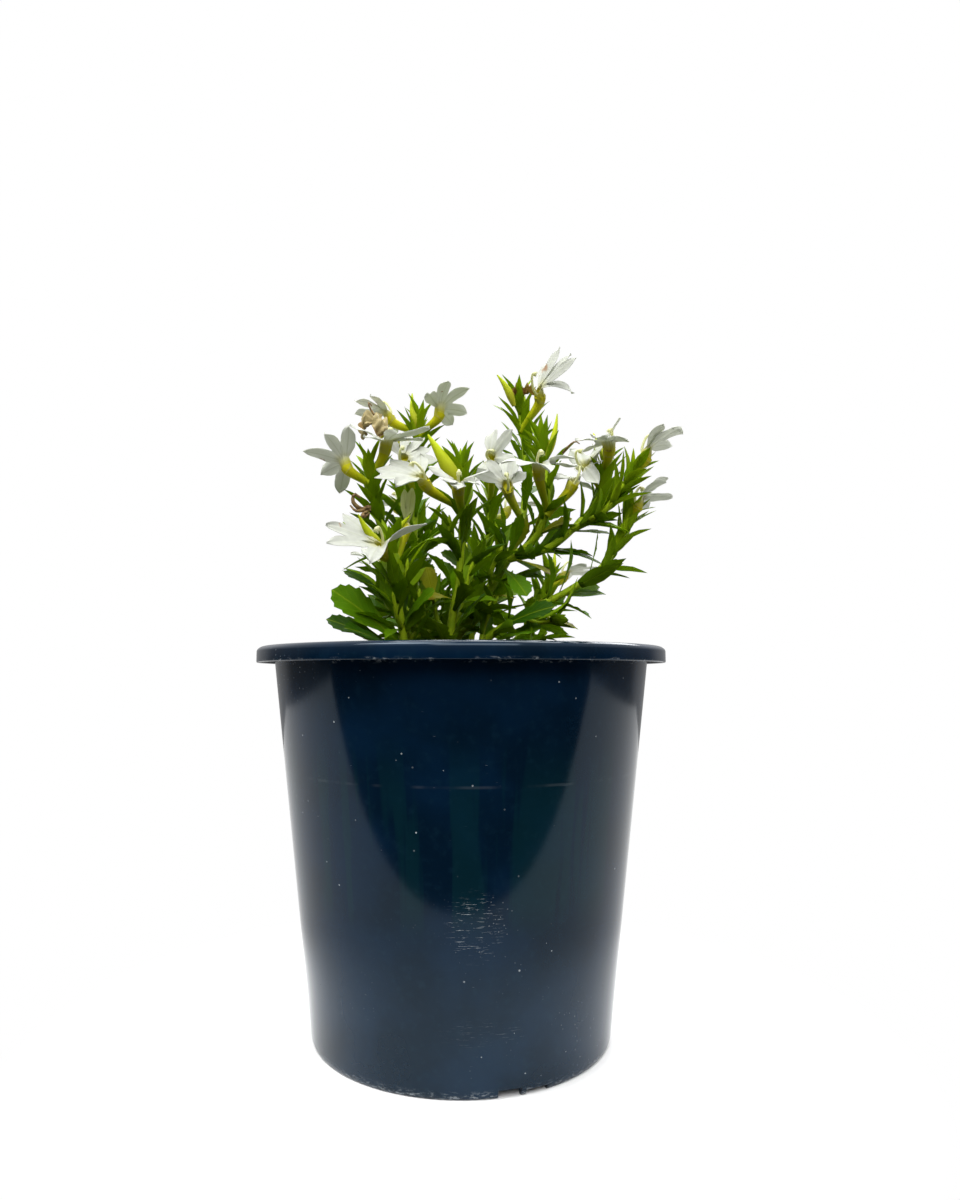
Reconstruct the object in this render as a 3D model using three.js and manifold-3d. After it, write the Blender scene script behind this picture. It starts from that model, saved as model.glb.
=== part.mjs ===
// A potted fan flower: a bushy plant with white, one-sided flowers in a glossy nursery pot.
// Millimetres, +Z up. The origin is the middle of the pot's foot, and +Y points away from the viewer.
import * as THREE from "three";
import { mergeVertices } from "three/addons/utils/BufferGeometryUtils.js";
import Module from "manifold-3d";

const wasm = await Module();
wasm.setup();

// The pot: a straight taper with a flat rim whose edge is turned down.
const RIM_RADIUS = 70;
const POT_HEIGHT = 133;
const SKIRT_DEPTH = 5.3;
const WALL = 1.1;
const WALL_TOP_RADIUS = 64.3;
const FOOT_RADIUS = 51.7;
const FOOT_WIDTH = 2;
const FLOOR_UNDERSIDE = 3.2;
const FLOOR_TOP = 4.4;
const POT_SIDES = 40;
const DRAIN_HOLES = 8;
const DRAIN_RADIUS = 4;
const DRAIN_CIRCLE = 38;
const FOOT_NOTCHES = 3;
const NOTCH_WIDTH = 16;
const NOTCH_HEIGHT = 2.6;
const NOTCH_TOOTH = 1.4;
const FIRST_NOTCH = -69;

// The potting mix, and the plain holes that the stems stand in.
const FIT = 0.3;
const MIX_TOP = 124;
const MIX_RELIEF = 1.1;
const ROOT_DEPTH = 20;
const COLLAR = 126.5;

// Leaves, petals and stems.
const BLADE_THICKNESS = 0.65;
const STEM_SIDES = 5;
const GOLDEN_ANGLE = 137.5;
const TOOTHED_FROM = 38;
const BRACT_OUTLINE = [[0.42, 1], [1, 0]];
const TOOTHED_OUTLINE = [[0.44, 0.6], [0.58, 1], [0.7, 0.76], [1, 0]];
const LARGE_OUTLINE = [[0, 0.18], [0.42, 0.5], [0.62, 0.9], [0.68, 0.8], [0.83, 1], [0.9, 0.72], [1, 0]];
const PETAL_OUTLINE = [[0.5, 0.86], [0.82, 0.94], [1, 0]];
const LEAF_FOOT = 1.8;
const SHORTEST_LENGTH = 0.4;
const STEM_TEST = 5;
const CROSSING = 1e-4;
const TIP_RADIUS = 0.9;

// How a shoot's leaves change with the distance from its tip:
// distance, length, width, angle off the stem, distance to the next leaf.
const LEAF_AGES = [
  [0, 9.5, 3.3, 18, 1.3],
  [8, 12.5, 4, 25, 2.4],
  [22, 15, 4.9, 32, 4],
  [42, 18, 6, 40, 6.6],
  [80, 22, 7.8, 50, 10],
];

// What a leaf or petal tries when it would touch a neighbour: turn, lift and size.
const WAYS_CLEAR = [
  [0, 0, 1],
  [18, 0, 1],
  [-18, 0, 1],
  [0, -14, 1],
  [36, 0, 0.9],
  [-36, 0, 0.9],
  [0, 16, 0.85],
  [55, 0, 0.9],
  [-55, 0, 0.9],
  [80, -8, 0.85],
  [-80, -8, 0.85],
  [115, 8, 0.8],
  [-115, 8, 0.8],
  [150, 0, 0.7],
  [0, 0, 0.6],
];
// What a leaf tries when its solid still meets its own stem or a neighbour on it: size and arch.
const SMALLER_WAYS = [
  [1, 1],
  [0.88, 1],
  [1, 0.4],
  [0.76, 0.7],
  [0.64, 1],
  [0.52, 0.6],
];
const SAMPLE_STEP = 2;
const CLEAR_OF_OTHERS = 1.8;
const CLEAR_OF_OWN = 0.9;
const SAMPLED_FROM = 0.4;

// Each stem of the plant with its side shoots. A shoot's path runs from its foot to its tip.
const STEMS = [
  {
    name: "stem_right",
    shoots: [
      { path: [[-3, 2, COLLAR], [-2, 0, 136], [7.5, -3, 150], [16, -6, 163.5]],
        foot: 1.9, tip: 1.6, age: 46 },
      { path: [[16, -6, 163.5], [24.5, -12, 169], [28.5, -16, 179], [28, -17, 190], [26.5, -16, 202]],
        foot: 1.5 },
      { path: [[16, -6, 163.5], [21.5, 2, 177], [23.5, 8, 198], [22, 9, 214.5], [20.5, 8, 224.5]],
        foot: 1.5 },
      { path: [[16, -6, 163.5], [28.5, -12, 166], [37, -16, 172], [45.5, -16, 182], [48.5, -14, 196]],
        foot: 1.4 },
      { path: [[37, -16, 172], [45, -24, 175.5], [50.5, -28, 182], [54.5, -30, 188.5]], foot: 1.2 },
    ],
  },
  {
    name: "stem_low_right",
    shoots: [
      {
        path: [[3, -8, COLLAR], [9, -12, 136], [22.5, -20, 144.5], [35, -24, 151], [46, -24, 159],
          [52.5, -22, 171], [55.5, -22, 178]],
        foot: 1.5,
      },
    ],
  },
  {
    name: "stem_front_left",
    shoots: [
      { path: [[-18.5, -20, COLLAR], [-19, -22, 137], [-20.5, -24, 148], [-21.5, -25, 157.5],
          [-22.5, -26, 167.5]],
        foot: 1.6, age: 8 },
    ],
  },
  {
    name: "stem_left",
    shoots: [
      { path: [[-17, -4, COLLAR], [-19, -5, 139], [-21.5, -8, 154.5], [-26.5, -10, 171], [-29.5, -12, 182.5],
          [-31, -12, 195.5]],
        foot: 1.6 },
    ],
  },
  {
    name: "stem_tall_left",
    shoots: [
      { path: [[-15, 12, COLLAR], [-16.5, 14, 147.5], [-17.5, 16, 170], [-16.5, 18, 196.5], [-15.5, 18, 220]],
        foot: 1.6 },
    ],
  },
  {
    name: "stem_centre",
    shoots: [
      { path: [[-4.5, -12, COLLAR], [-3, -14, 142], [-0.5, -16, 158.5], [0.5, -18, 175], [0, -18, 194]],
        foot: 1.6 },
    ],
  },
  {
    name: "stem_back_left",
    shoots: [
      { path: [[-11, 22, COLLAR], [-14, 26, 148.5], [-16, 28, 168], [-19, 28, 187.5], [-20, 28, 199]],
        foot: 1.5 },
    ],
  },
  {
    name: "stem_back_right",
    shoots: [
      { path: [[2.5, 16, COLLAR], [5, 20, 148], [9, 24, 167.5], [11, 24, 183], [11.5, 24, 196]],
        foot: 1.5 },
    ],
  },
  {
    name: "stem_rear_left",
    shoots: [
      { path: [[-16, 32, COLLAR], [-20, 37, 140], [-25, 43, 153], [-27, 46, 168]], foot: 1.5, age: 4 },
    ],
  },
  {
    name: "stem_rear_middle",
    shoots: [
      { path: [[2, 32, COLLAR], [3, 40, 142], [4, 47, 157], [3, 50, 172]], foot: 1.5, age: 4 },
    ],
  },
  {
    name: "stem_rear_right",
    shoots: [
      { path: [[14, 22, COLLAR], [22, 29, 138], [31, 36, 148], [35, 40, 163]], foot: 1.5, age: 4 },
    ],
  },
];

// Large toothed leaves that show by themselves: stem, root, tip, width, and which way the blade faces.
const LARGE_LEAVES = [
  ["stem_front_left", [-19, -21.5, 133], [-41, -31, 150.5], 12, [0.2, -0.85, 0.4]],
  ["stem_front_left", [-18.8, -21, 130], [-43.5, -26, 141.5], 9, [0.15, -0.65, 0.75]],
  ["stem_front_left", [-18.6, -21, 129], [-36, -38, 138], 8, [0.1, -0.3, 0.95]],
  ["stem_front_left", [-20, -23.4, 144], [-38, -26, 157], 6, [0.4, -0.3, 0.8]],
  ["stem_front_left", [-19.3, -22.4, 139], [-8, -34, 150], 6.5, [-0.4, -0.6, 0.6]],
  ["stem_centre", [-4, -12.8, 134], [8, -30, 149], 7, [-0.3, -0.6, 0.7]],
  ["stem_centre", [-4.2, -12.4, 131], [-9, -34, 141], 8, [0, -0.5, 0.85]],
  ["stem_low_right", [6, -10, 131.5], [26, -28, 138.5], 8, [0.1, -0.6, 0.75]],
  ["stem_low_right", [10, -12.8, 137], [29.5, -32, 145], 7.5, [0.1, -0.8, 0.6]],
  ["stem_low_right", [18, -17.5, 142], [32, -4, 140], 7, [0.2, 0.1, 0.95]],
  ["stem_right", [14, -5.4, 160.5], [21.5, -23, 149], 7.5, [0.2, -0.85, 0.4]],
  ["stem_right", [17, -6.6, 164], [40, -18, 163], 6, [0, -0.25, 0.95]],
  ["stem_right", [9, -3.5, 152.5], [-6, -16, 162], 6.5, [0.3, -0.5, 0.8]],
];

// Closed flower buds, slim curved horns: stem, foot, tip, greatest radius.
const BUDS = [
  ["stem_front_left", [-22.3, -26, 164], [-30, -30, 171.5], 1.2],
  ["stem_front_left", [-22.4, -26, 165], [-16, -30, 174], 1.1],
  ["stem_tall_left", [-15.6, 18, 215], [-18.3, 18, 229], 1.5],
  ["stem_right", [21.5, 8.6, 219], [15, 6, 231], 1.5],
  ["stem_right", [27.2, -16.6, 194], [32, -16, 210.5], 1.2],
  ["stem_right", [48.2, -14, 193], [45.6, -6, 207], 1.1],
  ["stem_right", [48.4, -14, 194.5], [51, -11, 204], 1.0],
  ["stem_centre", [0.2, -18, 183], [-10.8, -23, 201.5], 2.4],
  ["stem_back_left", [-19.6, 28, 193], [-25, 31, 206], 1.2],
  ["stem_rear_middle", [3.2, 49.5, 169], [-1, 52, 183], 1.3],
  ["stem_rear_right", [34.7, 39.6, 161], [38, 44, 174], 1.2],
];

// The open flowers. Each has its stem, the foot of its tube on the stem, the heart of the flower, the way
// that the fan opens, the way that its face looks, and its petals' spread, length, lift and bend.
const BLOOMS = [
  { stem: "stem_right", foot: [22, 8.8, 212], heart: [27, 0, 223.6], fan: [0.5, -0.29, 0.82],
    face: [-0.8, -0.45, 0.4], spread: 100, petal: 16.5, lift: 0, arch: 10 },
  { stem: "stem_tall_left", foot: [-15.7, 18, 213], heart: [-8, 16, 222.4], fan: [0.81, -0.16, 0.56],
    face: [-0.48, 0.4, 0.78], spread: 176, petal: 13, lift: 15, arch: 34 },
  { stem: "stem_tall_left", foot: [-15.7, 18, 213.5], heart: [-27, 16, 221], fan: [-0.94, 0.27, 0.2],
    face: [0.26, 0.23, 0.94], spread: 163, petal: 13, lift: 0, arch: 8 },
  { stem: "stem_left", foot: [-30.3, -12, 187.5], heart: [-38.8, -14, 194.6], fan: [-0.97, -0.07, 0.24],
    face: [0.13, 0.69, 0.71], spread: 176, petal: 13.4, lift: 22, arch: 34 },
  { stem: "stem_left", foot: [-30.4, -12, 189], heart: [-25, -14, 201.6], fan: [0.35, -0.9, -0.2],
    face: [0, -0.25, 0.95], spread: 172, petal: 13.5, lift: 14, arch: 14 },
  { stem: "stem_tall_left", foot: [-16.7, 17.8, 190], heart: [-20.9, 6, 201.4], fan: [0.5, 0.06, 0.87],
    face: [-0.14, -0.98, 0.15], spread: 132, petal: 13, lift: 0, arch: 28 },
  { stem: "stem_centre", foot: [0.4, -18, 178], heart: [-12.6, -26, 187], fan: [-0.98, 0.15, 0.08],
    face: [-0.05, -0.55, 0.84], spread: 150, petal: 14.5, lift: 10, arch: 8 },
  { stem: "stem_centre", foot: [0.4, -18, 176], heart: [-0.8, -29, 184.8], fan: [0.05, -0.82, -0.5],
    face: [0.1, -0.5, 0.82], spread: 170, petal: 12.5, lift: 20, arch: 10 },
  { stem: "stem_back_right", foot: [11.3, 24, 190], heart: [10.8, 10, 202.6], fan: [0.85, -0.4, -0.15],
    face: [-0.4, -0.9, 0.1], spread: 176, petal: 14, lift: 20, arch: 10 },
  { stem: "stem_right", foot: [21.8, 2.4, 178], heart: [15.7, -13, 187.4], fan: [-0.15, 0.05, 0.95],
    face: [0.2, -0.95, 0.1], spread: 120, petal: 13, lift: 0, arch: 24 },
  { stem: "stem_right", foot: [28.4, -16.5, 178.5], heart: [24.6, -28, 190.4], fan: [0.15, -0.9, -0.35],
    face: [0.06, -0.4, 0.92], spread: 168, petal: 13.8, lift: 18, arch: 28 },
  { stem: "stem_right", foot: [28.5, -16.4, 176.5], heart: [37.6, -18, 188.3], fan: [-0.4, 0.8, 0.3],
    face: [0.1, -0.35, 0.92], spread: 140, petal: 12.5, lift: 4, arch: 10 },
  { stem: "stem_right", foot: [46.6, -15.3, 186], heart: [41.5, -13, 194.2], fan: [0.77, -0.3, 0.58],
    face: [-0.55, -0.5, 0.65], spread: 174, petal: 15, lift: 4, arch: 8 },
  { stem: "stem_right", foot: [48, -14.6, 190.5], heart: [47.9, -24, 198.3], fan: [-0.8, -0.6, -0.12],
    face: [-0.1, -0.1, 0.98], spread: 160, petal: 12.5, lift: 4, arch: 22 },
  { stem: "stem_right", foot: [53.6, -29.5, 187], heart: [58.1, -31, 193.8], fan: [0.83, -0.35, 0.42],
    face: [-0.38, 0.15, 0.92], spread: 112, petal: 13.4, lift: 22, arch: 30 },
  { stem: "stem_low_right", foot: [54.6, -22, 175], heart: [57.1, -24, 180], fan: [0.82, 0.5, 0.05],
    face: [-0.15, 0.33, 0.93], spread: 140, petal: 12.4, lift: 20, arch: 26 },
  { stem: "stem_front_left", foot: [-22, -26, 159.5], heart: [-24.8, -36, 163.5], fan: [-0.6, -0.75, -0.1],
    face: [-0.05, -0.4, 0.92], spread: 178, petal: 17, lift: 18, arch: 8 },
  { stem: "stem_front_left", foot: [-21.6, -25.2, 157.5], heart: [-18, -15, 172.5], fan: [0.05, 0.1, 0.98],
    face: [0, 0.98, -0.1], spread: 26, petal: 12.5, lift: 0, arch: 8, petals: 2, young: true },
  { stem: "stem_rear_left", foot: [-26.5, 45, 163], heart: [-33, 52, 171], fan: [-0.7, 0.5, 0.3],
    face: [0.2, -0.2, 0.95], spread: 172, petal: 13, lift: 4, arch: 12 },
  { stem: "stem_rear_left", foot: [-25.4, 43.5, 156], heart: [-20, 52, 163], fan: [0.3, 0.85, -0.1],
    face: [0, 0.1, 0.98], spread: 172, petal: 12.5, lift: 4, arch: 14 },
  { stem: "stem_rear_middle", foot: [3.4, 49, 166], heart: [6, 57, 174], fan: [0.2, 0.9, 0.2],
    face: [0, -0.15, 0.98], spread: 174, petal: 13, lift: 4, arch: 12 },
  { stem: "stem_rear_right", foot: [34.2, 39.2, 158], heart: [42, 44, 165.5], fan: [0.8, 0.5, 0.1],
    face: [-0.1, 0.1, 0.98], spread: 172, petal: 13, lift: 4, arch: 12 },
  { stem: "stem_back_left", foot: [-18.6, 28, 184], heart: [-26, 38, 193], fan: [-0.5, 0.8, 0.1],
    face: [0.1, 0.2, 0.97], spread: 172, petal: 12.5, lift: 4, arch: 12 },
  { stem: "stem_back_right", foot: [10.9, 24, 182], heart: [18, 35, 190], fan: [0.5, 0.8, 0.1],
    face: [0, 0.2, 0.97], spread: 172, petal: 12.5, lift: 4, arch: 12 },
];

// The spent flower below the tall left shoot, crumpled and brown.
const SPENT_BLOOM = { stem: "stem_tall_left", foot: [-16, 18, 206], heart: [-29.5, 7, 214.5],
  fan: [-0.9, -0.35, 0.1], face: [0.1, -0.35, 0.9], spread: 160, petal: 9.5, lift: 38, arch: 60, petals: 4 };

const TUBE_FOOT_RADIUS = 0.95;
const TUBE_MOUTH_RADIUS = 1.9;
const THROAT_LENGTH = 1.6;
const THROAT_RADIUS = 2.3;
const SEAT_RADIUS = 1.7;
const PETALS = 5;
const PETAL_WIDTH = 4.6;

const COLOURS = {
  pot: new THREE.MeshStandardMaterial({ color: 0x0c1a2a, roughness: 0.22, metalness: 0 }),
  mix: new THREE.MeshStandardMaterial({ color: 0x2b2119, roughness: 0.95, metalness: 0 }),
  foliage: new THREE.MeshStandardMaterial({ color: 0x3f6e12, roughness: 0.5, metalness: 0 }),
  petal: new THREE.MeshStandardMaterial({ color: 0xf3f4ee, roughness: 0.55, metalness: 0 }),
  youngPetal: new THREE.MeshStandardMaterial({ color: 0xcfd3a8, roughness: 0.55, metalness: 0 }),
  spentPetal: new THREE.MeshStandardMaterial({ color: 0xc9b48c, roughness: 0.8, metalness: 0 }),
};

const plant = new THREE.Group();
const vector = (list) => new THREE.Vector3(...list);
const radians = THREE.MathUtils.degToRad;
const sine = (degrees) => Math.sin(radians(degrees));
const cosine = (degrees) => Math.cos(radians(degrees));

// A closed mesh as a solid that can be joined and cut.
function solidOf(vertProperties, triangles) {
  const flat = triangles.filter(([a, b, c]) => a !== b && b !== c && a !== c).flat();
  const mesh = new wasm.Mesh({ numProp: 3, vertProperties, triVerts: new Uint32Array(flat) });
  return new wasm.Manifold(mesh);
}

function solidOfGeometry(geometry) {
  geometry.deleteAttribute("normal");
  geometry.deleteAttribute("uv");
  const merged = mergeVertices(geometry, 1e-4);
  const triangles = [];
  for (let i = 0; i < merged.index.count; i += 3) {
    triangles.push([merged.index.getX(i), merged.index.getX(i + 1), merged.index.getX(i + 2)]);
  }
  return solidOf(new Float32Array(merged.attributes.position.array), triangles);
}

// Adds a solid to the group as a named mesh. Loose scraps and sealed hollows of its unions are dropped.
function addNode(name, solid, material) {
  const bodies = solid.decompose();
  const largest = bodies.reduce((best, body) => (body.volume() > best.volume() ? body : best));
  const { vertProperties, triVerts } = largest.getMesh();
  const geometry = new THREE.BufferGeometry();
  geometry.setAttribute("position", new THREE.BufferAttribute(vertProperties, 3));
  geometry.setIndex(new THREE.BufferAttribute(triVerts, 1));
  const mesh = new THREE.Mesh(geometry, material);
  mesh.name = name;
  plant.add(mesh);
}

// A turned form about the Z axis, from its radius and height at each corner of the section.
function turned(section, sides) {
  const profile = section.map(([radius, height]) => new THREE.Vector2(radius, height));
  return new THREE.LatheGeometry(profile, sides).rotateX(Math.PI / 2);
}

function upright(geometry, x, y, z, turn = 0) {
  return geometry.rotateX(Math.PI / 2).translate(x, y, z).rotateZ(radians(turn));
}

function makePot() {
  const inner = FOOT_RADIUS - WALL;
  const skirtInside = RIM_RADIUS - WALL;
  const flange = POT_HEIGHT - 1.3;
  const section = [
    [0, FLOOR_UNDERSIDE],
    [FOOT_RADIUS - FOOT_WIDTH - 0.5, FLOOR_UNDERSIDE],
    [FOOT_RADIUS - FOOT_WIDTH, 0],
    [FOOT_RADIUS - 0.7, 0],
    [FOOT_RADIUS + 0.1, 1.4],
    [WALL_TOP_RADIUS, flange],
    [skirtInside, flange],
    [skirtInside, POT_HEIGHT - SKIRT_DEPTH],
    [RIM_RADIUS, POT_HEIGHT - SKIRT_DEPTH],
    [RIM_RADIUS, POT_HEIGHT - 1.7],
    [RIM_RADIUS - 0.6, POT_HEIGHT - 0.4],
    [RIM_RADIUS - 2, POT_HEIGHT],
    [WALL_TOP_RADIUS - 0.6, POT_HEIGHT],
    [WALL_TOP_RADIUS - WALL, POT_HEIGHT - 1.2],
    [inner, FLOOR_TOP],
    [0, FLOOR_TOP],
  ];
  let pot = solidOfGeometry(turned(section, POT_SIDES));
  for (let i = 0; i < DRAIN_HOLES; i++) {
    const hole = new THREE.CylinderGeometry(DRAIN_RADIUS, DRAIN_RADIUS, 3, 12);
    const turn = (360 * i) / DRAIN_HOLES;
    const middle = (FLOOR_UNDERSIDE + FLOOR_TOP) / 2;
    pot = pot.subtract(solidOfGeometry(upright(hole, DRAIN_CIRCLE, 0, middle, turn)));
  }
  for (let i = 0; i < FOOT_NOTCHES; i++) {
    const turn = FIRST_NOTCH + (360 * i) / FOOT_NOTCHES;
    for (const side of [-1, 1]) {
      const width = (NOTCH_WIDTH - NOTCH_TOOTH) / 2;
      const height = side < 0 ? NOTCH_HEIGHT : NOTCH_HEIGHT - 0.9;
      const notch = new THREE.BoxGeometry(4 * FOOT_WIDTH, width, 2 * height);
      notch.translate(FOOT_RADIUS - 0.5, (side * (width + NOTCH_TOOTH)) / 2, 0).rotateZ(radians(turn));
      pot = pot.subtract(solidOfGeometry(notch));
    }
  }
  addNode("pot", pot, COLOURS.pot);
}

// The height of the potting mix at a place: low mounds and hollows.
function mixHeight(x, y) {
  return MIX_TOP + MIX_RELIEF * Math.sin(0.21 * x + 0.6) * Math.cos(0.17 * y - 0.4);
}

function makePottingMix() {
  const bottom = FLOOR_TOP + FIT;
  const slope = (WALL_TOP_RADIUS - FOOT_RADIUS) / POT_HEIGHT;
  const radiusAt = (height) => FOOT_RADIUS - WALL + slope * height - 2 * FIT;
  const edge = radiusAt(MIX_TOP) - 0.3;
  const section = [[0, bottom], [radiusAt(bottom), bottom], [edge, MIX_TOP - 2]];
  const rings = 3;
  for (let i = rings; i >= 0; i--) section.push([(edge * i) / rings, MIX_TOP]);
  const geometry = turned(section, POT_SIDES);
  const position = geometry.getAttribute("position");
  for (let i = 0; i < position.count; i++) {
    if (position.getZ(i) > MIX_TOP - 1) position.setZ(i, mixHeight(position.getX(i), position.getY(i)));
  }
  let mix = solidOfGeometry(geometry);
  for (const { shoots } of STEMS) {
    const cornerFit = FIT / Math.cos(Math.PI / STEM_SIDES);
    mix = mix.subtract(peg(shoots[0], MIX_TOP - ROOT_DEPTH, POT_HEIGHT, cornerFit));
  }
  addNode("potting_mix", mix, COLOURS.mix);
}

// A repeatable random number from -1 to 1.
let drawn = 20;
function random() {
  drawn = (drawn * 1664525 + 1013904223) % 4294967296;
  return drawn / 2147483648 - 1;
}

// Two directions across a third, the first of them square to the reference.
function across(tangent, reference = new THREE.Vector3(0, 1, 0)) {
  const first = new THREE.Vector3().crossVectors(tangent, reference).normalize();
  const second = new THREE.Vector3().crossVectors(tangent, first);
  return [first, second];
}

// Points and triangles that grow into one closed surface.
class Surface {
  positions = [];
  triangles = [];

  point(place) {
    this.positions.push(place.x, place.y, place.z);
    return this.positions.length / 3 - 1;
  }

  place(index) {
    return vector(this.positions.slice(3 * index, 3 * index + 3));
  }

  ring({ centre, tangent, radius, reference }) {
    const [first, second] = across(tangent, reference);
    const ring = [];
    for (let k = 0; k < STEM_SIDES; k++) {
      const turn = (360 * k) / STEM_SIDES;
      const corner = centre.clone().addScaledVector(first, radius * cosine(turn));
      ring.push(this.point(corner.addScaledVector(second, radius * sine(turn))));
    }
    return ring;
  }

  quad(a, b, c, d) {
    this.triangles.push([a, b, c], [a, c, d]);
  }

  // The sides between two rings, with one of them left open for a leaf.
  wall(low, high, open = -1) {
    for (let k = 0; k < STEM_SIDES; k++) {
      const next = (k + 1) % STEM_SIDES;
      if (k !== open) this.quad(low[k], low[next], high[next], high[k]);
    }
  }

  close(low, high) {
    for (let k = 1; k + 1 < STEM_SIDES; k++) {
      this.triangles.push([low[0], low[k + 1], low[k]], [high[0], high[k], high[k + 1]]);
    }
  }

  // A blade's stations, each a flat four-cornered section, joined on to the section that it starts from.
  blade(shape, start) {
    const side = new THREE.Vector3().crossVectors(shape.along, shape.up);
    const half = BLADE_THICKNESS / 2;
    const stations = start ? shape.outline : shape.outline.slice(1);
    const station = (share, breadth) => {
      const { middle, normal } = bladeAt(shape, share);
      const place = (hand, rise) => {
        const corner = middle.clone().addScaledVector(side, (hand * breadth * shape.width) / 2);
        return this.point(corner.addScaledVector(normal, rise));
      };
      if (breadth > 0) return [place(-1, half), place(1, half), place(1, -half), place(-1, -half)];
      const [over, under] = [place(0, half), place(0, -half)];
      return [over, over, under, under];
    };
    let [a, b, c, d] = start ?? station(...shape.outline[0]);
    if (!start) this.quad(d, c, b, a);
    for (const [share, breadth] of stations) {
      const [e, f, g, h] = station(share, breadth);
      this.quad(a, b, f, e);
      this.triangles.push([d, h, g], [d, g, c]);
      this.quad(c, g, f, b);
      this.quad(a, e, h, d);
      [a, b, c, d] = [e, f, g, h];
    }
  }

  solid() {
    return solidOf(new Float32Array(this.positions), this.triangles);
  }
}

// A round, tapering limb through rings of a centre, a direction and a radius.
function limb(rings) {
  const surface = new Surface();
  const corners = rings.map((ring) => surface.ring(ring));
  for (let i = 0; i + 1 < corners.length; i++) surface.wall(corners[i], corners[i + 1]);
  surface.close(corners[0], corners[corners.length - 1]);
  return surface.solid();
}

// The straight foot of a stem between two heights, or the hole for it.
function peg({ path, foot }, low, high, margin = 0) {
  const [x, y] = path[0];
  const tangent = new THREE.Vector3(0, 0, 1);
  return limb([low, high].map((z) => ({ centre: vector([x, y, z]), tangent, radius: foot + margin })));
}

// A smooth path as closely spaced points, with the distance walked to each.
function walked(path) {
  const points = new THREE.CatmullRomCurve3(path.map(vector), false, "catmullrom", 0.5).getPoints(120);
  const distances = [0];
  for (let i = 1; i < points.length; i++) {
    distances.push(distances[i - 1] + points[i].distanceTo(points[i - 1]));
  }
  return { points, distances, length: distances[distances.length - 1] };
}

function placeOn({ points, distances }, distance) {
  let i = 1;
  while (i + 1 < points.length && distances[i] < distance) i++;
  const share = (distance - distances[i - 1]) / (distances[i] - distances[i - 1]);
  return {
    centre: points[i - 1].clone().lerp(points[i], share),
    tangent: points[i].clone().sub(points[i - 1]).normalize(),
  };
}

// The middle, the surface direction and the width of a blade at a share of its length.
function bladeAt({ root, along, up, length, arch }, share) {
  const bend = radians(arch);
  const turn = bend * share;
  const middle = root.clone().addScaledVector(along, (length * Math.sin(turn)) / bend);
  middle.addScaledVector(up, (-length * (1 - Math.cos(turn))) / bend);
  const normal = up.clone().multiplyScalar(Math.cos(turn)).addScaledVector(along, Math.sin(turn));
  return { middle, normal };
}

// Points that stand for what is already placed, in cells, so that a new blade can be held clear of them.
const CELL = 4;
const cells = new Map();
const cellOf = (value) => Math.floor(value / CELL);

function remember(samples) {
  for (const sample of samples) {
    const key = [sample.point.x, sample.point.y, sample.point.z].map(cellOf).join(" ");
    if (!cells.has(key)) cells.set(key, []);
    cells.get(key).push(sample);
  }
}

function touches(sample, other) {
  let gap = CLEAR_OF_OTHERS;
  if (sample.owner === other.owner) {
    if (sample.share < SAMPLED_FROM || other.share < SAMPLED_FROM) return false;
    gap = CLEAR_OF_OWN;
  }
  return sample.point.distanceTo(other.point) < gap + sample.radius + other.radius;
}

function isClear(samples) {
  return samples.every((sample) => {
    const { x, y, z } = sample.point;
    const fromAxis = Math.hypot(x, y);
    const floor = fromAxis < WALL_TOP_RADIUS - 3 ? COLLAR : POT_HEIGHT + 1.2;
    if (z < floor) return false;
    for (let i = cellOf(x) - 1; i <= cellOf(x) + 1; i++) {
      for (let j = cellOf(y) - 1; j <= cellOf(y) + 1; j++) {
        for (let k = cellOf(z) - 1; k <= cellOf(z) + 1; k++) {
          const near = cells.get([i, j, k].join(" ")) ?? [];
          if (near.some((other) => touches(sample, other))) return false;
        }
      }
    }
    return true;
  });
}

function samplesOfBlade(shape, owner, from) {
  const side = new THREE.Vector3().crossVectors(shape.along, shape.up);
  const steps = Math.ceil(shape.length / SAMPLE_STEP);
  const hands = shape.width > 3 ? [-0.38, 0, 0.38] : [0];
  const samples = [];
  for (let i = 0; i <= steps; i++) {
    const share = i / steps;
    if (share < from) continue;
    const { middle } = bladeAt(shape, share);
    const spread = shape.width * (share < 0.95 ? 1 : 0);
    for (const hand of hands) {
      samples.push({ point: middle.clone().addScaledVector(side, hand * spread), owner, share, radius: 0 });
    }
  }
  return samples;
}

function samplesOfLimb(rings, owner) {
  const samples = [];
  for (let i = 0; i + 1 < rings.length; i++) {
    const apart = rings[i].centre.distanceTo(rings[i + 1].centre);
    const steps = Math.ceil(apart / SAMPLE_STEP);
    for (let j = 0; j < steps; j++) {
      const point = rings[i].centre.clone().lerp(rings[i + 1].centre, j / steps);
      samples.push({ point, owner, share: 0, radius: 0.6 * rings[i].radius });
    }
  }
  return samples;
}

// The first way of placing a blade that keeps it clear, or nothing.
function clearShape(makeShape, owner, from) {
  for (const way of WAYS_CLEAR) {
    const shape = makeShape(...way);
    const samples = samplesOfBlade(shape, owner, from);
    if (isClear(samples)) {
      remember(samples);
      return shape;
    }
  }
  return null;
}

// The shape, made smaller and then raised until it is free, or nothing.
function freeShape(shape, isFree) {
  if (!shape) return null;
  for (const [size, arch] of SMALLER_WAYS) {
    const [length, width] = [shape.length * size, shape.width * size];
    const changed = { ...shape, length, width, arch: shape.arch * arch };
    if (isFree(changed)) return changed;
  }
  return null;
}

function atAge(distance) {
  let i = 1;
  while (i + 1 < LEAF_AGES.length && LEAF_AGES[i][0] < distance) i++;
  const [from, to] = [LEAF_AGES[i - 1], LEAF_AGES[i]];
  const share = Math.min((distance - from[0]) / (to[0] - from[0]), 1);
  return from.slice(1).map((value, k) => value + (to[k + 1] - value) * share);
}

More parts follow.
